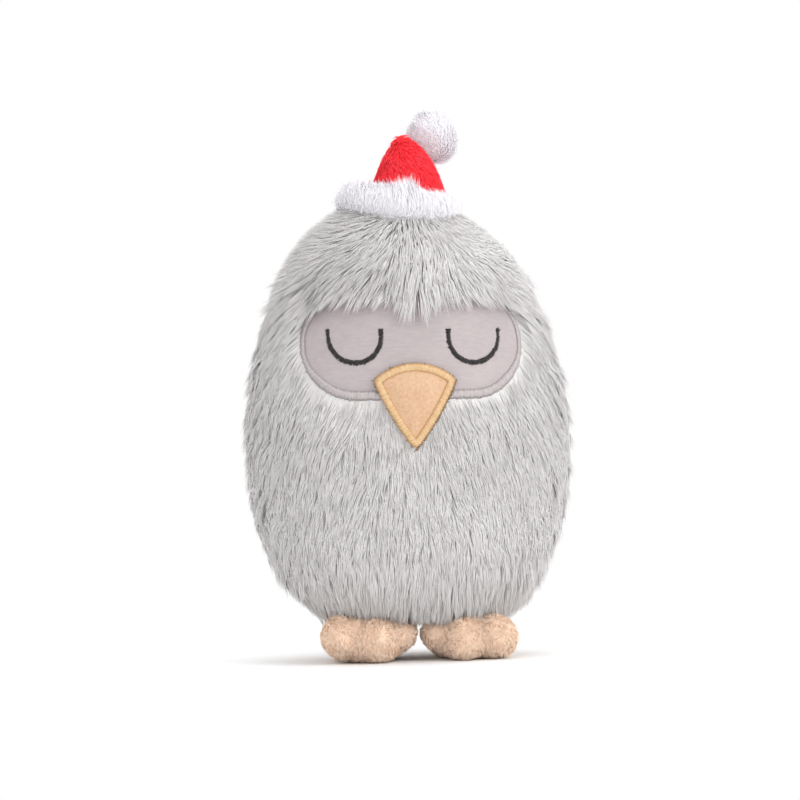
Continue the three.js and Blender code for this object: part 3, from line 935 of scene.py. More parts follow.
# %% [markdown]
# The strands are short and flat below the face and the beak, shorter low on the body, and long
# above the middle of the face, where they hang over its edge as a fringe. How deep a tip ends
# under the body's outline is set apart from its length: locks end unevenly, some stray out of the
# fur at the sides, and the body is fuller in some places than the formula.

# %% How long the grey strands are, and where they end
STRAND_LENGTH = 13 * MM
LENGTH_RANGE = (0.82, 1.15)
SHORTER_BESIDE, SHORTER_LOW, SHORTER_BETWEEN, SHORTER_ON_HEAD = 0.42, 0.2, 0.3, 0.1
WAIST_LEVELS = np.array([30, 60, 100, 120]) * MM
WAIST_LENGTHS = [1, 0.84, 0.84, 1]
HANG_LEVELS = np.array([-2, 0, 9, 16]) * MM
HANG = [0, 1, 1, 0]
FRINGE_PLACES = np.array([-17, -10, -5.5, -2, 1.8, 5, 11, 17, 23, 35]) * MM
FRINGE = np.array([-0.1, -0.16, -0.1, 0.28, 0.64, 0.4, -0.04, -0.02, 0.0, -0.1])
STAND, STAND_ON_HEAD, STAND_BESIDE, STAND_NEAR_HAT, STAND_SPREAD = 38, 6, -20, -22, 5
TIP_DEPTHS = (0, 0.7 * MM)
LOCK_DEPTH = 1.6 * MM
DEEPER_BESIDE = 1.2 * MM
TAME_SHARE = 0.86
STRAY_REACH = (1 * MM, 3 * MM)
FEWER_IN_FRONT = 0.7
FULL_LEVELS = np.array([10, 20, 30, 44, 60, 80, 130, 150, 165, 178]) * MM
FULLNESS = np.array([1.5, 8, 5.5, 0.8, -1, -0.3, 0, 2.2, 2.4, 2.2]) * MM
ASIDE_LEVELS = np.array([70, 75, 150, 170]) * MM
ASIDE = np.array([0.25, -0.5, -0.5, -1.2])
DEEPER_BETWEEN = 0.8 * MM

lengths = STRAND_LENGTH * rng.uniform(*LENGTH_RANGE, count)
lengths *= 1 - SHORTER_BESIDE * beside - SHORTER_LOW * low_down - SHORTER_BETWEEN * between_feet
lengths *= np.interp(level, WAIST_LEVELS, WAIST_LENGTHS) * (1 - SHORTER_ON_HEAD * on_head)
hang = np.interp(level - FACE_HIGH.z, HANG_LEVELS, HANG) * in_front
lengths *= 1 + hang * np.interp(across, FRINGE_PLACES, FRINGE)

hat_at_right = near_hat * eased(across, 0, 16 * MM)
stand = STAND + STAND_ON_HEAD * on_head + STAND_BESIDE * beside + STAND_NEAR_HAT * hat_at_right
stand = np.radians(stand + rng.normal(0, STAND_SPREAD, count))

clumping = (1 - 0.85 * near_hat) * (1 - 0.75 * on_head) * (1 - 0.4 * low_down)
clumping *= 0.75 - 0.45 * np.tanh(across / (25 * MM))
tip_depths = rng.uniform(*TIP_DEPTHS, count)
tip_depths += clumping * LOCK_DEPTH * rng.random(count)[lock_leader]
tip_depths += DEEPER_BESIDE * beside
stray = (rng.random(count)[lock_leader] > TAME_SHARE) * (1 - beside) * (1 - near_hat)
stray *= 1 - FEWER_IN_FRONT * eased(-normals[:, 1], 0.5, 0.85)
tip_depths -= stray * rng.uniform(*STRAY_REACH, count)
to_one_side = np.interp(level, ASIDE_LEVELS, ASIDE) * np.tanh(across / (20 * MM))
fullness = np.interp(level, FULL_LEVELS, FULLNESS) * (1 + to_one_side)
tip_depths -= fullness * (1 - between_feet) - DEEPER_BETWEEN * between_feet
print("mean length", round(float(lengths.mean()) / MM, 1), "mm")

# %% [markdown]
# Each strand leaves the cloth at a steep angle and bends over until it lies along the fur's
# surface. It is a curve from its root, drawn towards a bend, to its tip. Its lock pulls the tip
# and the bend towards the leader's, a much larger tuft pulls it a little more, and then the tip
# is moved to its depth. Long streaks, locks and single strands differ in tone.

# %% The grey strands
BEND_AT = 0.5
TIP_BEYOND = 0.55
TIP_SCATTER = 0.35 * MM
LOCK_PULLS = (0.15, 0.45)
BEND_SHARE = 0.4
STRANDS_A_TUFT = 260
TUFT_PULL, LESS_ON_HEAD = 0.12, 0.07
STREAK_SQUEEZE = (1, 1, 0.22)
STRANDS_A_STREAK = 40
TONE_WAVE = 0.13
TONE_STEP = 0.25
TONE_LEVELS = np.array([30, 50, 95, 125, 150]) * MM
TONE_SHIFTS = np.array([0.45, -0.05, -0.5, -0.35, 0.1])
STRAND_RADIUS = 0.27 * MM
RADIUS_RANGE = (0.7, 1.2)
STRANDS_A_PIECE = 19000

rising = np.cos(stand)[:, None] * lie + np.sin(stand)[:, None] * normals
bends = roots + (BEND_AT * lengths)[:, None] * rising
ahead = laid_along(lie, depth_and_normal(bends)[1])
tips = bends + (TIP_BEYOND * lengths)[:, None] * ahead
tips += rng.normal(0, TIP_SCATTER, tips.shape)

pull = (clumping * rng.uniform(*LOCK_PULLS, count)[lock_leader])[:, None]
tips += pull * (tips[lock_leader] - tips)
bends += BEND_SHARE * pull * (bends[lock_leader] - bends)
tuft_leader = locks_of(roots, STRANDS_A_TUFT)
tips += (TUFT_PULL - LESS_ON_HEAD * on_head)[:, None] * (tips[tuft_leader] - tips)
depths, outward = depth_and_normal(tips)
tips += (depths - tip_depths)[:, None] * outward

streak_leader = locks_of(roots * STREAK_SQUEEZE, STRANDS_A_STREAK)
tones = 0.5 + TONE_WAVE * ripple(roots, 30 * MM) + np.interp(level, TONE_LEVELS, TONE_SHIFTS)
for leader in (streak_leader, lock_leader, slice(None)):
    tones += tone_steps(count, TONE_STEP, leader)
radii = STRAND_RADIUS * rng.uniform(*RADIUS_RANGE, count)
in_base = level < BASE_SEAM
behind = ~in_front & ~in_base
on_left = across < 0
for name, chosen in {
    "front_pile": in_front & ~in_base,
    "back_left_pile": behind & on_left,
    "back_right_pile": behind & ~on_left,
    "base_pile": in_base,
}.items():
    order = np.flatnonzero(chosen)
    order = order[np.argsort(-level[order], kind="stable")]
    parts = np.array_split(order, math.ceil(len(order) / STRANDS_A_PIECE))
    for number, part in enumerate(parts, start=1):
        curves = [values[part] for values in (roots, bends, tips, radii, tones)]
        pile = rods_along(f"{name}_{number}", STRAND, *curves, grey_pile)
        belongs(pile, "body", "grey_plush")

# %% [markdown]
# The face is a patch of velour that lies deeper than the pile, with a rolled border of satin
# stitch. The patch starts as a disc with rings and spokes, spun from a line. Every point of it is
# then moved out to the outline along its own spoke and set on the body's curve.

# %% A cloth patch that follows the body
FACE_DEPTH = 2.9 * MM


def patch(name, distance, middle, finish, shrink, depth, puff, puff_width, rings, spokes):
    """A patch inside an outline, which swells by puff once it is puff_width in from its edge."""
    shape = spun([(ring / rings, 0, 0) for ring in range(rings + 1)], spokes)
    flat = np.array([vert.co for vert in shape.verts])[:, :2]
    reach = reach_to_edge(distance, middle, shrink, np.arctan2(flat[:, 1], flat[:, 0]))
    placed = middle + flat * reach[:, None]
    depths = depth - puff * eased(-shrink - distance(placed), 0, puff_width)
    for vert, place in zip(shape.verts, on_front(placed[:, 0], placed[:, 1], depths)):
        vert.co = place
    return piece_from(name, shape, finish)


face_patch = patch(
    "face_velour", face_distance, FACE_MIDDLE, velour,
    shrink=0.9 * MM, depth=FACE_DEPTH + 0.3 * MM, puff=0.4 * MM, puff_width=4.8 * MM,
    rings=26, spokes=144,
)
belongs(thickened(face_patch, 0.9 * MM), "body", "face_velour", "face_patch")

# %% [markdown]
# A satin-stitch border is a soft core with thread laid over it from edge to edge. The core is a
# grid bent round the outline and closed on itself. The thread is one short rod for each stitch,
# arched over the core, and its ends are a little uneven, as on any embroidery. The face's border
# is widest below and narrower up the sides, where less of it shows.

# %% A stitched border
FACE_BORDER_WIDTH = 3.6 * MM
BORDER_LEVELS = FACE_MIDDLE[1] + np.array([-14.5, -11, -7, -2]) * MM
BORDER_SHARES = np.array([1, 0.85, 0.55, 0.4])
STITCHES_PAST = 0.1 * MM
INNER_RAGGED = 0.6
SLANT = 0.5


def core(name, line, out, half_widths, depth, rise, finish):
    """A roll along a closed line of the front view, half round above and flat below."""
    section = [(math.cos(a), math.sin(a)) for a in np.linspace(0, math.pi, 9)]
    section += [(-0.9, -0.5), (0.9, -0.5), section[0]]
    shape = bmesh.new()
    columns, rows = len(line), len(section) - 1
    bmesh.ops.create_grid(shape, x_segments=columns, y_segments=rows, size=0.5)
    for vert in shape.verts:
        at = round((vert.co.x + 0.5) * columns) % columns
        aside, up = section[round((vert.co.y + 0.5) * rows)]
        place = line[at] + out[at] * half_widths[at] * aside
        share = half_widths[at] / half_widths.max()
        vert.co = on_front(place[0], place[1], depth - rise * share * up)
    bmesh.ops.remove_doubles(shape, verts=shape.verts, dist=MERGE)
    return piece_from(name, shape, finish)


def satin(name, line, out, half_widths, depth, rise, radius, ragged, finish):
    """Stitches across a line of the front view, which arch higher where they are longer."""
    count = len(line)
    outer = half_widths + rng.normal(0, ragged, count)
    inner = half_widths + rng.normal(0, ragged * INNER_RAGGED, count)
    slant = np.stack([-out[:, 1], out[:, 0]], axis=-1)
    slant *= rng.normal(0, radius * SLANT, count)[:, None]
    starts = line + out * outer[:, None] + slant
    ends = line - out * inner[:, None] - slant
    arches = 2 * rise * rng.uniform(0.92, 1.08, count) * half_widths / half_widths.max()
    curves = [
        on_front(points[:, 0], points[:, 1], deep)
        for points, deep in ((starts, depth), (line, depth - arches), (ends, depth))
    ]
    radii = radius * rng.uniform(0.85, 1.15, count)
    return rods_along(name, THREAD, *curves, radii, rng.random(count), finish)


def border(node, slot, finish, line_at, core_shape, stitch_shape, spacings, radius, ragged):
    """The core and the stitches of a border. The shapes are how deep and how high they are."""
    roll = core(f"{node}_core", *line_at(spacings[0]), *core_shape, finish)
    belongs(roll, "body", slot, node)
    line, out, half_widths = line_at(spacings[1])
    half_widths = half_widths + STITCHES_PAST
    name = f"{node}_stitches"
    thread = satin(name, line, out, half_widths, *stitch_shape, radius, ragged, finish)
    belongs(thread, "body", slot)


def face_edge(spacing):
    """Points along the border, the directions out of it and its half widths."""
    line, out = edge_line(face_distance, FACE_MIDDLE, FACE_BORDER_WIDTH / 2, spacing)
    half_widths = FACE_BORDER_WIDTH / 2 * np.interp(line[:, 1], BORDER_LEVELS, BORDER_SHARES)
    return line + out * (FACE_BORDER_WIDTH / 2 - half_widths)[:, None], out, half_widths


border(
    "face_border", "face_thread", face_thread, face_edge,
    core_shape=(3.3 * MM, 1.2 * MM), stitch_shape=(3.3 * MM, 1.35 * MM),
    spacings=(0.9 * MM, 0.32 * MM), radius=0.19 * MM, ragged=0.2 * MM,
)

# %% [markdown]
# Each closed eye is a U of black satin stitch. The line of the U is two short legs and a half
# circle, and the stitches lie across it. They are longest at the bottom and shorter on the legs,
# most of all on the outer one, and the last few at each end are a little longer again.

# %% The eyes
EYE_RADIUS = 10.2 * MM
EYE_LEG = 3.1 * MM
EYE_STITCH = 0.31 * MM
EYE_TOP = 1 * MM
LEG_WIDTH, MORE_BELOW, MORE_AT_ENDS, LESS_OUTSIDE = np.array([0.7, 0.26, 0.2, 0.22]) * MM
EYES = {
    # shift in the front view, way outwards along the line, where the outer leg gets thinner
    "left": (np.array([0.5, 0]) * MM, -1, (-0.2, 0)),
    "right": (np.array([0.1, -0.6]) * MM, 1, (0.75, 1)),
}


def eye_line(middle):
    """Even points along a U, the directions out of it, and how far along each is."""
    arc = math.pi * EYE_RADIUS
    whole = arc + 2 * EYE_LEG
    along = np.arange(0, whole, EYE_STITCH)
    out = pointing(np.pi + np.clip((along - EYE_LEG) / EYE_RADIUS, 0, np.pi))
    rise = np.maximum(EYE_LEG - along, 0) + np.maximum(along - EYE_LEG - arc, 0)
    line = middle + out * EYE_RADIUS + np.stack([np.zeros_like(rise), rise], axis=-1)
    return line, out, along / whole


for side, (shift, outward, thinner) in EYES.items():
    low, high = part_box(f"eye_{side}")
    line, out, share = eye_line(np.array([(low.x + high.x) / 2, high.z - EYE_LEG - EYE_TOP]))
    at_ends = 1 - eased(np.minimum(share, 1 - share), 0.02, 0.06)
    widths = LEG_WIDTH + MORE_BELOW * np.sin(np.pi * share) + MORE_AT_ENDS * at_ends
    widths -= LESS_OUTSIDE * eased(outward * share, *thinner)
    eye = satin(
        f"eye_{side}_stitches", turned(line, FACE_TURN) + shift, out, widths,
        depth=FACE_DEPTH - 0.05 * MM, rise=0.55 * MM, radius=0.18 * MM, ragged=0.17 * MM,
        finish=black_thread,
    )
    belongs(eye, "body", "black_thread", f"eye_{side}")

# %% [markdown]
# The beak is a puffed patch of felt inside a thick border of tan satin stitch, sewn through the
# face and the pile below it. It is made with the same patch, core and stitches as the face. A few
# short dark brown stitches along its edge are painted shade under the raised border, close
# together on its right side.

# %% The beak
BEAK_BORDER = 3.2 * MM
BEAK_DEPTH = 1.0 * MM
SHOWN_RIGHT, SHOWN_ELSEWHERE = 0.95, 0.12


def beak_edge(spacing):
    line, out = edge_line(beak_distance, BEAK_MIDDLE, BEAK_BORDER / 2, spacing)
    return line, out, np.full(len(line), BEAK_BORDER / 2)


beak = patch(
    "beak_felt_patch", beak_distance, BEAK_MIDDLE, felt,
    shrink=BEAK_BORDER - 0.5 * MM, depth=BEAK_DEPTH, puff=0.9 * MM, puff_width=5 * MM,
    rings=18, spokes=120,
)
belongs(thickened(beak, 1.2 * MM), "body", "beak_felt", "beak")
border(
    "beak_border", "beak_thread", beak_thread, beak_edge,
    core_shape=(BEAK_DEPTH + 0.3 * MM, 1.1 * MM), stitch_shape=(BEAK_DEPTH + 0.4 * MM, 1.3 * MM),
    spacings=(0.8 * MM, 0.3 * MM), radius=0.18 * MM, ragged=0.14 * MM,
)
# Dark brown stitches as painted shade under the border's edge, most of them on its right side.
line, out = edge_line(beak_distance, BEAK_MIDDLE, -0.1 * MM, 0.36 * MM)
at_right = (out[:, 0] > 0.3) & (out[:, 1] < 0)
shown = rng.random(len(line)) < np.where(at_right, SHOWN_RIGHT, SHOWN_ELSEWHERE)
beak_edge_shade = satin(
    "beak_edge_shade_stitches", line[shown], out[shown], np.full(shown.sum(), 0.45 * MM),
    depth=BEAK_DEPTH + 0.4 * MM, rise=0.4 * MM, radius=0.16 * MM, ragged=0.18 * MM,
    finish=brown_thread,
)
belongs(beak_edge_shade, "body", "beak_thread")

# %% [markdown]
# A foot is a stuffed pad with three toes. The pad and the toes are ellipsoids, and plush rounds
# off the creases between them. One formula says how far a point lies outside that rounded form,
# and rays from inside the foot find its surface. The body presses it in, and the floor flattens it.

# %% The form of a foot
FOOT_SPACING = 40.4 * MM
FOOT_HALF_WIDTH = 19 * MM
FOOT_HEIGHT = 18 * MM
PAD_BACK = 1 * MM
PAD_RADII = np.array([16, 28, 12]) * MM
TOE_HALF_LENGTH = 12.5 * MM
TOE_REACH = 23.5 * MM
CREASE_ROUNDING = 2.4 * MM
RAYS_AHEAD = np.array([0, -8, 0]) * MM
RAY_STRETCH = (1, 1.5, 0.7)
TOES = {
    # outward, ahead, up, half width and half height, as shares of the foot's
    "left": [
        (0.55, 0.8, 0.6, 0.45, 0.48),
        (-0.18, 1, 0.5, 0.46, 0.49),
        (-0.63, 0.67, 0.62, 0.39, 0.4),
    ],
    "right": [
        (0.56, 1, 0.47, 0.44, 0.5),
        (-0.14, 1.1, 0.46, 0.42, 0.5),
        (-0.62, 0.65, 0.6, 0.38, 0.4),
    ],
}


def foot_balls(side):
    """The middle, the radii and the turn of the pad and of each toe."""
    outward = -1 if side == "left" else 1
    middle = np.array([outward * FOOT_SPACING / 2, PAD_BACK, FOOT_HEIGHT / 2])
    balls = [(middle, PAD_RADII, 0.0)]
    for aside, ahead, up, wide, tall in TOES[side]:
        across = outward * aside * FOOT_HALF_WIDTH
        ahead *= TOE_REACH
        centre = np.array([middle[0] + across, middle[1] - ahead, up * FOOT_HEIGHT])
        radii = np.array([wide * FOOT_HALF_WIDTH, TOE_HALF_LENGTH, tall * FOOT_HEIGHT])
        balls.append((centre, radii, math.atan2(across, PAD_RADII[1] + ahead)))
    return balls


def union_distance(points, balls):
    """About how far points lie outside the rounded union of some ellipsoids."""
    nearness = 0
    for centre, radii, turn in balls:
        x, y, z = (points - centre).T
        cos, sin = math.cos(turn), math.sin(turn)
        local = np.stack([cos * x + sin * y, cos * y - sin * x, z], axis=-1)
        share = np.linalg.norm(local / radii, axis=1)
        slope = np.linalg.norm(local / radii**2, axis=1)
        distance = share * (share - 1) / np.maximum(slope, 1e-9)
        nearness = nearness + np.exp(-distance / CREASE_ROUNDING)
    return -CREASE_ROUNDING * np.log(nearness)


def foot(side, inset):
    """A foot's closed form at a depth under the tips of its pile."""
    balls = foot_balls(side)
    middle = balls[0][0] + RAYS_AHEAD
    shape = bmesh.new()
    bmesh.ops.create_icosphere(shape, subdivisions=5, radius=1)
    ways = unit(np.array([vert.co for vert in shape.verts]) * RAY_STRETCH)
    reach = furthest_inside(
        lambda reach: union_distance(middle + reach * ways, balls) < -inset,
        len(ways),
        2 * PAD_RADII[1],
        halvings=24,
    )
    places = middle + reach[:, None] * ways
    places[:, 2] = np.maximum(places[:, 2], inset)
    depths, outward = depth_and_normal(places)
    places += np.maximum(depths + 2 * SEAM_GAP + inset, 0)[:, None] * outward
    for vert, place in zip(shape.verts, places):
        vert.co = place
    return shape


print("each foot is", round(2 * FOOT_HALF_WIDTH / MM), "mm wide")

# %% [markdown]
# Short pile stands up from its cloth and curls. The curl turns slowly from place to place, so that
# neighbouring strands bend the same way and the pile clumps like wool. The same recipe makes the
# feet, the hat's band, cone and tip, and the bobble, with other lengths and other curls.

# %% Curly pile on any skin
CURL_SCATTER = 0.25
FLUFF_LENGTHS = (0.75, 1.1)
FLUFF_HEIGHTS = (0.6, 1)
WILD_PAST = 0.88
BEND_ALONG = 0.4
BEND_RISE = 1.1
TIP_RISES = (0.5, 1.1)
FLUFF_SCATTER = 0.1
CLINGS = (0.4, 1.2)
FLUFF_RADII = (0.75, 1.2)
OFF_FLOOR = 0.2 * MM


def fluff(name, shape, count, finish, body, slot, length, height, wave, curl, per_lock, cling,
          radius, keep=None, combed=None, longer=None, taller=None, wild=0):
    """Pile combed along a skin: a strand rises to the pile's height and then lies along it.

    It grows where keep says, lies the way combed says, and is longer or taller by the factors of
    those two. Where it is wild, one strand in eight stands up further.
    """
    roots, normals = spread(shape, count)
    if keep:
        kept = keep(roots)
        roots, normals = roots[kept], normals[kept]
    count = len(roots)
    swirl = np.stack([ripple(roots, wave) for _ in range(3)], axis=-1)
    ways = curl * (swirl + CURL_SCATTER * rng.normal(size=swirl.shape))
    if combed:
        ways += combed(normals)
    ways = laid_along(ways, normals)
    lengths = (length * rng.uniform(*FLUFF_LENGTHS, count))[:, None]
    if longer:
        lengths *= longer(roots)[:, None]
    heights = (height * rng.uniform(*FLUFF_HEIGHTS, count))[:, None]
    if taller:
        heights *= taller(roots)[:, None]
    if wild:
        heights *= 1 + wild * (rng.random((count, 1)) > WILD_PAST)
    bends = roots + BEND_ALONG * lengths * ways + BEND_RISE * heights * normals
    tips = roots + lengths * ways + heights * rng.uniform(*TIP_RISES, (count, 1)) * normals
    tips += lengths * rng.normal(0, FLUFF_SCATTER, tips.shape)
    leader = locks_of(roots, per_lock)
    tips += cling * rng.uniform(*CLINGS, count)[leader][:, None] * (tips[leader] - tips)
    for points in (bends, tips):
        points[:, 2] = np.maximum(points[:, 2], OFF_FLOOR)
    tones = 0.5 + 0.2 * ripple(roots, wave) + tone_steps(count, 0.35, leader)
    tones += tone_steps(count, 0.3)
    radii = radius * rng.uniform(*FLUFF_RADII, count)
    return belongs(rods_along(name, STRAND, roots, bends, tips, radii, tones, finish), body, slot)


print("wild strands", round(100 * (1 - WILD_PAST)), "%")

# %% [markdown]
# Each foot is sewn from an upper and a lower half of peach plush, and a plane cuts its form at
# that seam. One pile covers both halves, and leaves out what the body hides. It is combed down
# and a little ahead, over the toes.

# %% The feet
FOOT_PILE = 1.4 * MM
SOLE_SEAM = 8.2 * MM

for side in ("left", "right"):
    body = f"foot_{side}"
    for half, down in (("top", -1), ("sole", 1)):
        skin = foot(side, FOOT_PILE)
        sliced(skin, (0, 0, SOLE_SEAM - down * 0.02 * MM), (0, 0, down), clear_outer=True)
        cloth = thickened(piece_from(f"{body}_{half}_cloth", skin, peach_cloth), 0.8 * MM)
        belongs(cloth, body, "peach_plush", f"{body}_{half}")
    fluff(
        f"{body}_pile", foot(side, FOOT_PILE), 17000, peach_pile, body, "peach_plush",
        length=2.4 * MM, height=1.4 * FOOT_PILE, wave=3.5 * MM, curl=1, per_lock=10, cling=0.4,
        radius=0.17 * MM,
        keep=lambda roots: depth_and_normal(roots)[0] < -FOOT_PILE - 3 * SEAM_GAP,
        combed=lambda normals: np.array([0, -0.2, -0.7]),
    )
    inner = uneven(foot(side, FOOT_PILE + 1.4 * MM), 12 * MM, 0.3 * MM)
    inner = piece_from(f"{body}_fibre", inner, fibre)
    belongs(inner, body, "stuffing", f"{body}_stuffing")

# %% [markdown]
# The hat is sewn from short red plush, with a thick roll of long white plush round its foot. The
# roll is a ring spun from a round section, flattened like the head and tipped to one side. Its
# pile lies upwards, longest at the middle of the front, and turns down on the underside.

# %% The hat's band
BAND_RADIUS = 18 * MM
BAND_HALF_THICKNESS = 8.6 * MM
BAND_HALF_HEIGHT = 7.3 * MM
BAND_SINK = 4.75 * MM
BAND_SECTION_SIDES = 28
BAND_SIDES = 80
BAND_DEPTH_SHARE = 0.86
BAND_LEAN = 9
BAND_TAPER = 0.05
BAND_PILE = 1.3 * MM
CONE_FOOT = CROWN - BAND_SINK
BAND_MIDDLE = CONE_FOOT + 0.7 * MM


def band(inset):
    """The roll at a depth under the tips of its pile."""
    thick, high = BAND_HALF_THICKNESS - inset, BAND_HALF_HEIGHT - inset
    angles = np.linspace(0, 2 * math.pi, BAND_SECTION_SIDES, endpoint=False)
    section = [(BAND_RADIUS + thick * math.cos(a), 0, high * math.sin(a)) for a in angles]
    shape = spun(section, BAND_SIDES, closed=True)
    bmesh.ops.scale(shape, vec=(1, BAND_DEPTH_SHARE, 1), verts=shape.verts)
    for vert in shape.verts:
        vert.co.xy *= 1 - BAND_TAPER * (1 + vert.co.z / BAND_HALF_HEIGHT)
    leaned = Matrix.Rotation(math.radians(BAND_LEAN), 4, "Y")
    shape.transform(Matrix.Translation((0, 0, BAND_MIDDLE)) @ leaned)
    return shape


def middle_tuft(roots):
    """Longer pile at the middle of the front, where it stands up over the red."""
    ahead = (roots[:, 1] < 0) & (roots[:, 2] > BAND_MIDDLE)
    return 1 + 1.1 * ahead * bell(roots[:, 0] - 3.2 * MM, 6.5 * MM)


def band_comb(normals):
    """Upwards, and downwards on the underside, over the grey pile."""
    up = np.interp(normals[:, 2], [-0.75, -0.2], [-0.7, 1])
    return np.stack([0 * up, -0.2 + 0 * up, up], axis=-1)


band_cloth = piece_from("hat_band_cloth", band(BAND_PILE), white_cloth)
belongs(band_cloth, "body", "white_plush", "hat_band")
fluff(
    "hat_band_pile", band(BAND_PILE), 17000, white_pile, "body", "white_plush",
    length=5 * MM, height=1.7 * MM, wave=14 * MM, curl=0.35, per_lock=30, cling=0.15,
    radius=0.2 * MM,
    keep=lambda roots: depth_and_normal(roots)[0] < 1 * MM,
    combed=band_comb, longer=middle_tuft, wild=1.3,
)

# %% [markdown]
# The cone is a column whose oval sections shrink and lean back, as the soft tip of the hat falls
# behind. It is cut into levels first, each level then takes its size and place from a table, and
# smoothing takes the corners of the table out of it.

# %% The hat's cone
CONE_HALF_WIDTH = 15.4 * MM
CONE_HEIGHT = 30 * MM
CONE_PILE = 1.3 * MM
CONE_SIDES = 56
CONE_LEVELS = 41
PEAK = CONE_FOOT + CONE_HEIGHT
PEAK_KEPT = 0.5 * MM
CONE_SHARES = np.array(
    [
        # up, half width, half depth, aside, back
        (-0.3, 1.04, 0.86, 0.22, 0),
        (0, 1.04, 0.86, 0.22, 0),
        (0.24, 0.98, 0.82, 0.22, 0.04),
        (0.42, 0.88, 0.77, 0.22, 0.1),
        (0.57, 0.75, 0.7, 0.22, 0.17),
        (0.71, 0.6, 0.61, 0.21, 0.25),
        (0.84, 0.4, 0.5, 0.19, 0.33),
        (0.94, 0.21, 0.36, 0.12, 0.38),
        (1, 0.05, 0.18, 0.06, 0.4),
    ]
)


def cone(inset):
    """The cone at a depth under the tips of its pile, as a column of leaning ovals."""
    shape = bmesh.new()
    bmesh.ops.create_cone(shape, cap_ends=True, segments=CONE_SIDES, radius1=1, radius2=1, depth=1)
    for level in np.linspace(-0.5, 0.5, CONE_LEVELS)[1:-1]:
        sliced(shape, (0, 0, level), (0, 0, 1))
    ups, *columns = CONE_SHARES.T
    least = columns[0].min() * CONE_HALF_WIDTH / 2
    for vert in shape.verts:
        up = ups[0] + (vert.co.z + 0.5) * (1 - ups[0])
        width, depth, aside, behind = (
            CONE_HALF_WIDTH * np.interp(up, ups, column) for column in columns
        )
        x = aside + vert.co.x * max(width - inset, least)
        y = behind + vert.co.y * max(depth - inset, least)
        vert.co = (x, y, CONE_FOOT + min(up * CONE_HEIGHT, CONE_HEIGHT - inset))
    inner = [vert for vert in shape.verts if vert.co.z < PEAK - inset - PEAK_KEPT]
    for _ in range(3):
        bmesh.ops.smooth_vert(
            shape, verts=inner, factor=0.5, use_axis_x=True, use_axis_y=True, use_axis_z=True
        )
    return shape


belongs(piece_from("hat_cone_cloth", cone(CONE_PILE), red_cloth), "body", "red_plush", "hat_cone")
fluff(
    "hat_cone_pile", cone(CONE_PILE), 12000, red_pile, "body", "red_plush",
    length=3 * MM, height=CONE_PILE, wave=8 * MM, curl=0.4, per_lock=10, cling=0.5,
    radius=0.19 * MM,
    keep=lambda roots: roots[:, 2] > CONE_FOOT,
    combed=lambda normals: np.array([0.25, 0, -0.8]),
)
hat_fibre = piece_from("hat_fibre", uneven(cone(CONE_PILE + 1.4 * MM), 10 * MM, 0.2 * MM), fibre)
belongs(hat_fibre, "body", "stuffing", "hat_stuffing")

# %% [markdown]
# The soft end of the hat folds over behind the cone, narrows to a neck and carries the bobble. It
# is a profile spun round the line from the fold to the bobble. The bobble is a ball of long white
# pile gathered on that neck, and it hangs behind the top of the hat, to the right. Its pile is
# tallest at its top, and pressed short where it rests against the cone.

# %% The hat's tip and the bobble
FOLD = Vector((6.5, 9.5, 0)) * MM + Vector((0, 0, PEAK - 10.2 * MM))
BOBBLE = Vector((15.4, 17, 0)) * MM + Vector((0, 0, PEAK - 2.9 * MM))
BOBBLE_RADIUS = 10 * MM
BOBBLE_PILE = 1.2 * MM
BOBBLE_NECK = 1.5 * MM
TUFT_TILT = 0.15
TUFT_FROM = BOBBLE.z - TUFT_TILT * BOBBLE.x + 7.5 * MM
TIP_BALL_RADIUS = 4.8 * MM
TIP_RADIUS = 2.8 * MM
TIP_PILE = 0.8 * MM
TIP_SIDES = 28
tip_way = (BOBBLE - FOLD).normalized()
neck = BOBBLE - tip_way * (BOBBLE_RADIUS + BOBBLE_NECK)


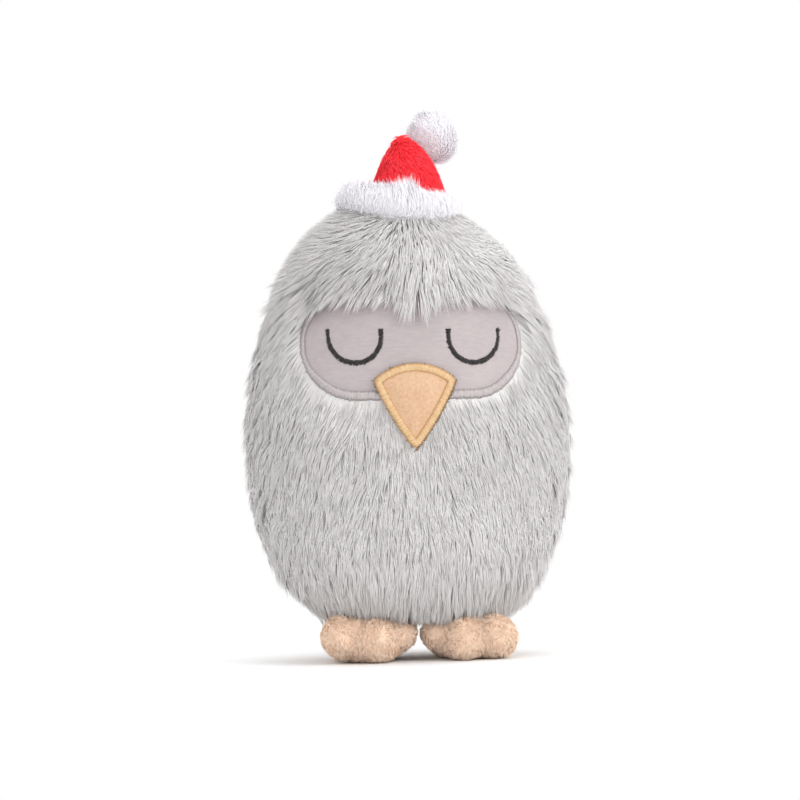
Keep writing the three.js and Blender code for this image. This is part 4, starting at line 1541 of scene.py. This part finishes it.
def tip(inset):
    """The folded end: a ball at the fold that tapers to a rounded neck."""
    reach = (neck - FOLD).length
    radius, end = TIP_BALL_RADIUS - inset, TIP_RADIUS - inset
    round_fold, round_end = np.linspace(0, math.pi * 0.72, 12), np.linspace(0, math.pi / 2, 6)
    line = [(radius * math.sin(a), -radius * math.cos(a)) for a in round_fold]
    line += [(end * math.cos(a), reach + end * math.sin(a)) for a in round_end]
    shape = spun([(max(out, 0), 0, up) for out, up in line], TIP_SIDES)
    aimed = tip_way.to_track_quat("Z", "Y").to_matrix().to_4x4()
    shape.transform(Matrix.Translation(FOLD) @ aimed)
    return shape


def ball(radius):
    shape = bmesh.new()
    place = Matrix.Translation(BOBBLE)
    bmesh.ops.create_icosphere(shape, subdivisions=4, radius=radius, matrix=place)
    return shape


def bobble_tuft(roots):
    """Taller pile at the bobble's top, and short pile where the bobble rests against the cone."""
    at_top = eased(roots[:, 2] - TUFT_TILT * roots[:, 0] - TUFT_FROM, 0, 2 * MM)
    toward_cone = unit(np.array(BOBBLE) - roots) @ np.array(tip_way)
    return 1 + 1.2 * at_top - 0.6 * eased(toward_cone, 0.3, 0.8)


belongs(piece_from("hat_tip_cloth", tip(TIP_PILE), red_cloth), "hat_tip", "red_plush", "hat_tip")
fluff(
    "hat_tip_pile", tip(TIP_PILE), 2500, red_pile, "hat_tip", "red_plush",
    length=2 * MM, height=TIP_PILE, wave=6 * MM, curl=1, per_lock=8, cling=0.4, radius=0.17 * MM,
)
bobble_cloth = piece_from("bobble_cloth", ball(BOBBLE_RADIUS - BOBBLE_PILE), white_cloth)
belongs(bobble_cloth, "bobble", "white_plush", "bobble_cover")
fluff(
    "bobble_pile", ball(BOBBLE_RADIUS - BOBBLE_PILE), 9000, white_pile, "bobble", "white_plush",
    length=5 * MM, height=2 * MM, wave=12 * MM, curl=0.25, per_lock=30, cling=0.12,
    radius=0.18 * MM,
    combed=lambda normals: np.array([-0.1, 0, 0.6]), taller=bobble_tuft, wild=0.5,
)
bobble_fibre = piece_from("bobble_fibre", ball(BOBBLE_RADIUS - BOBBLE_PILE - 1.2 * MM), fibre)
belongs(bobble_fibre, "bobble", "stuffing", "bobble_stuffing")
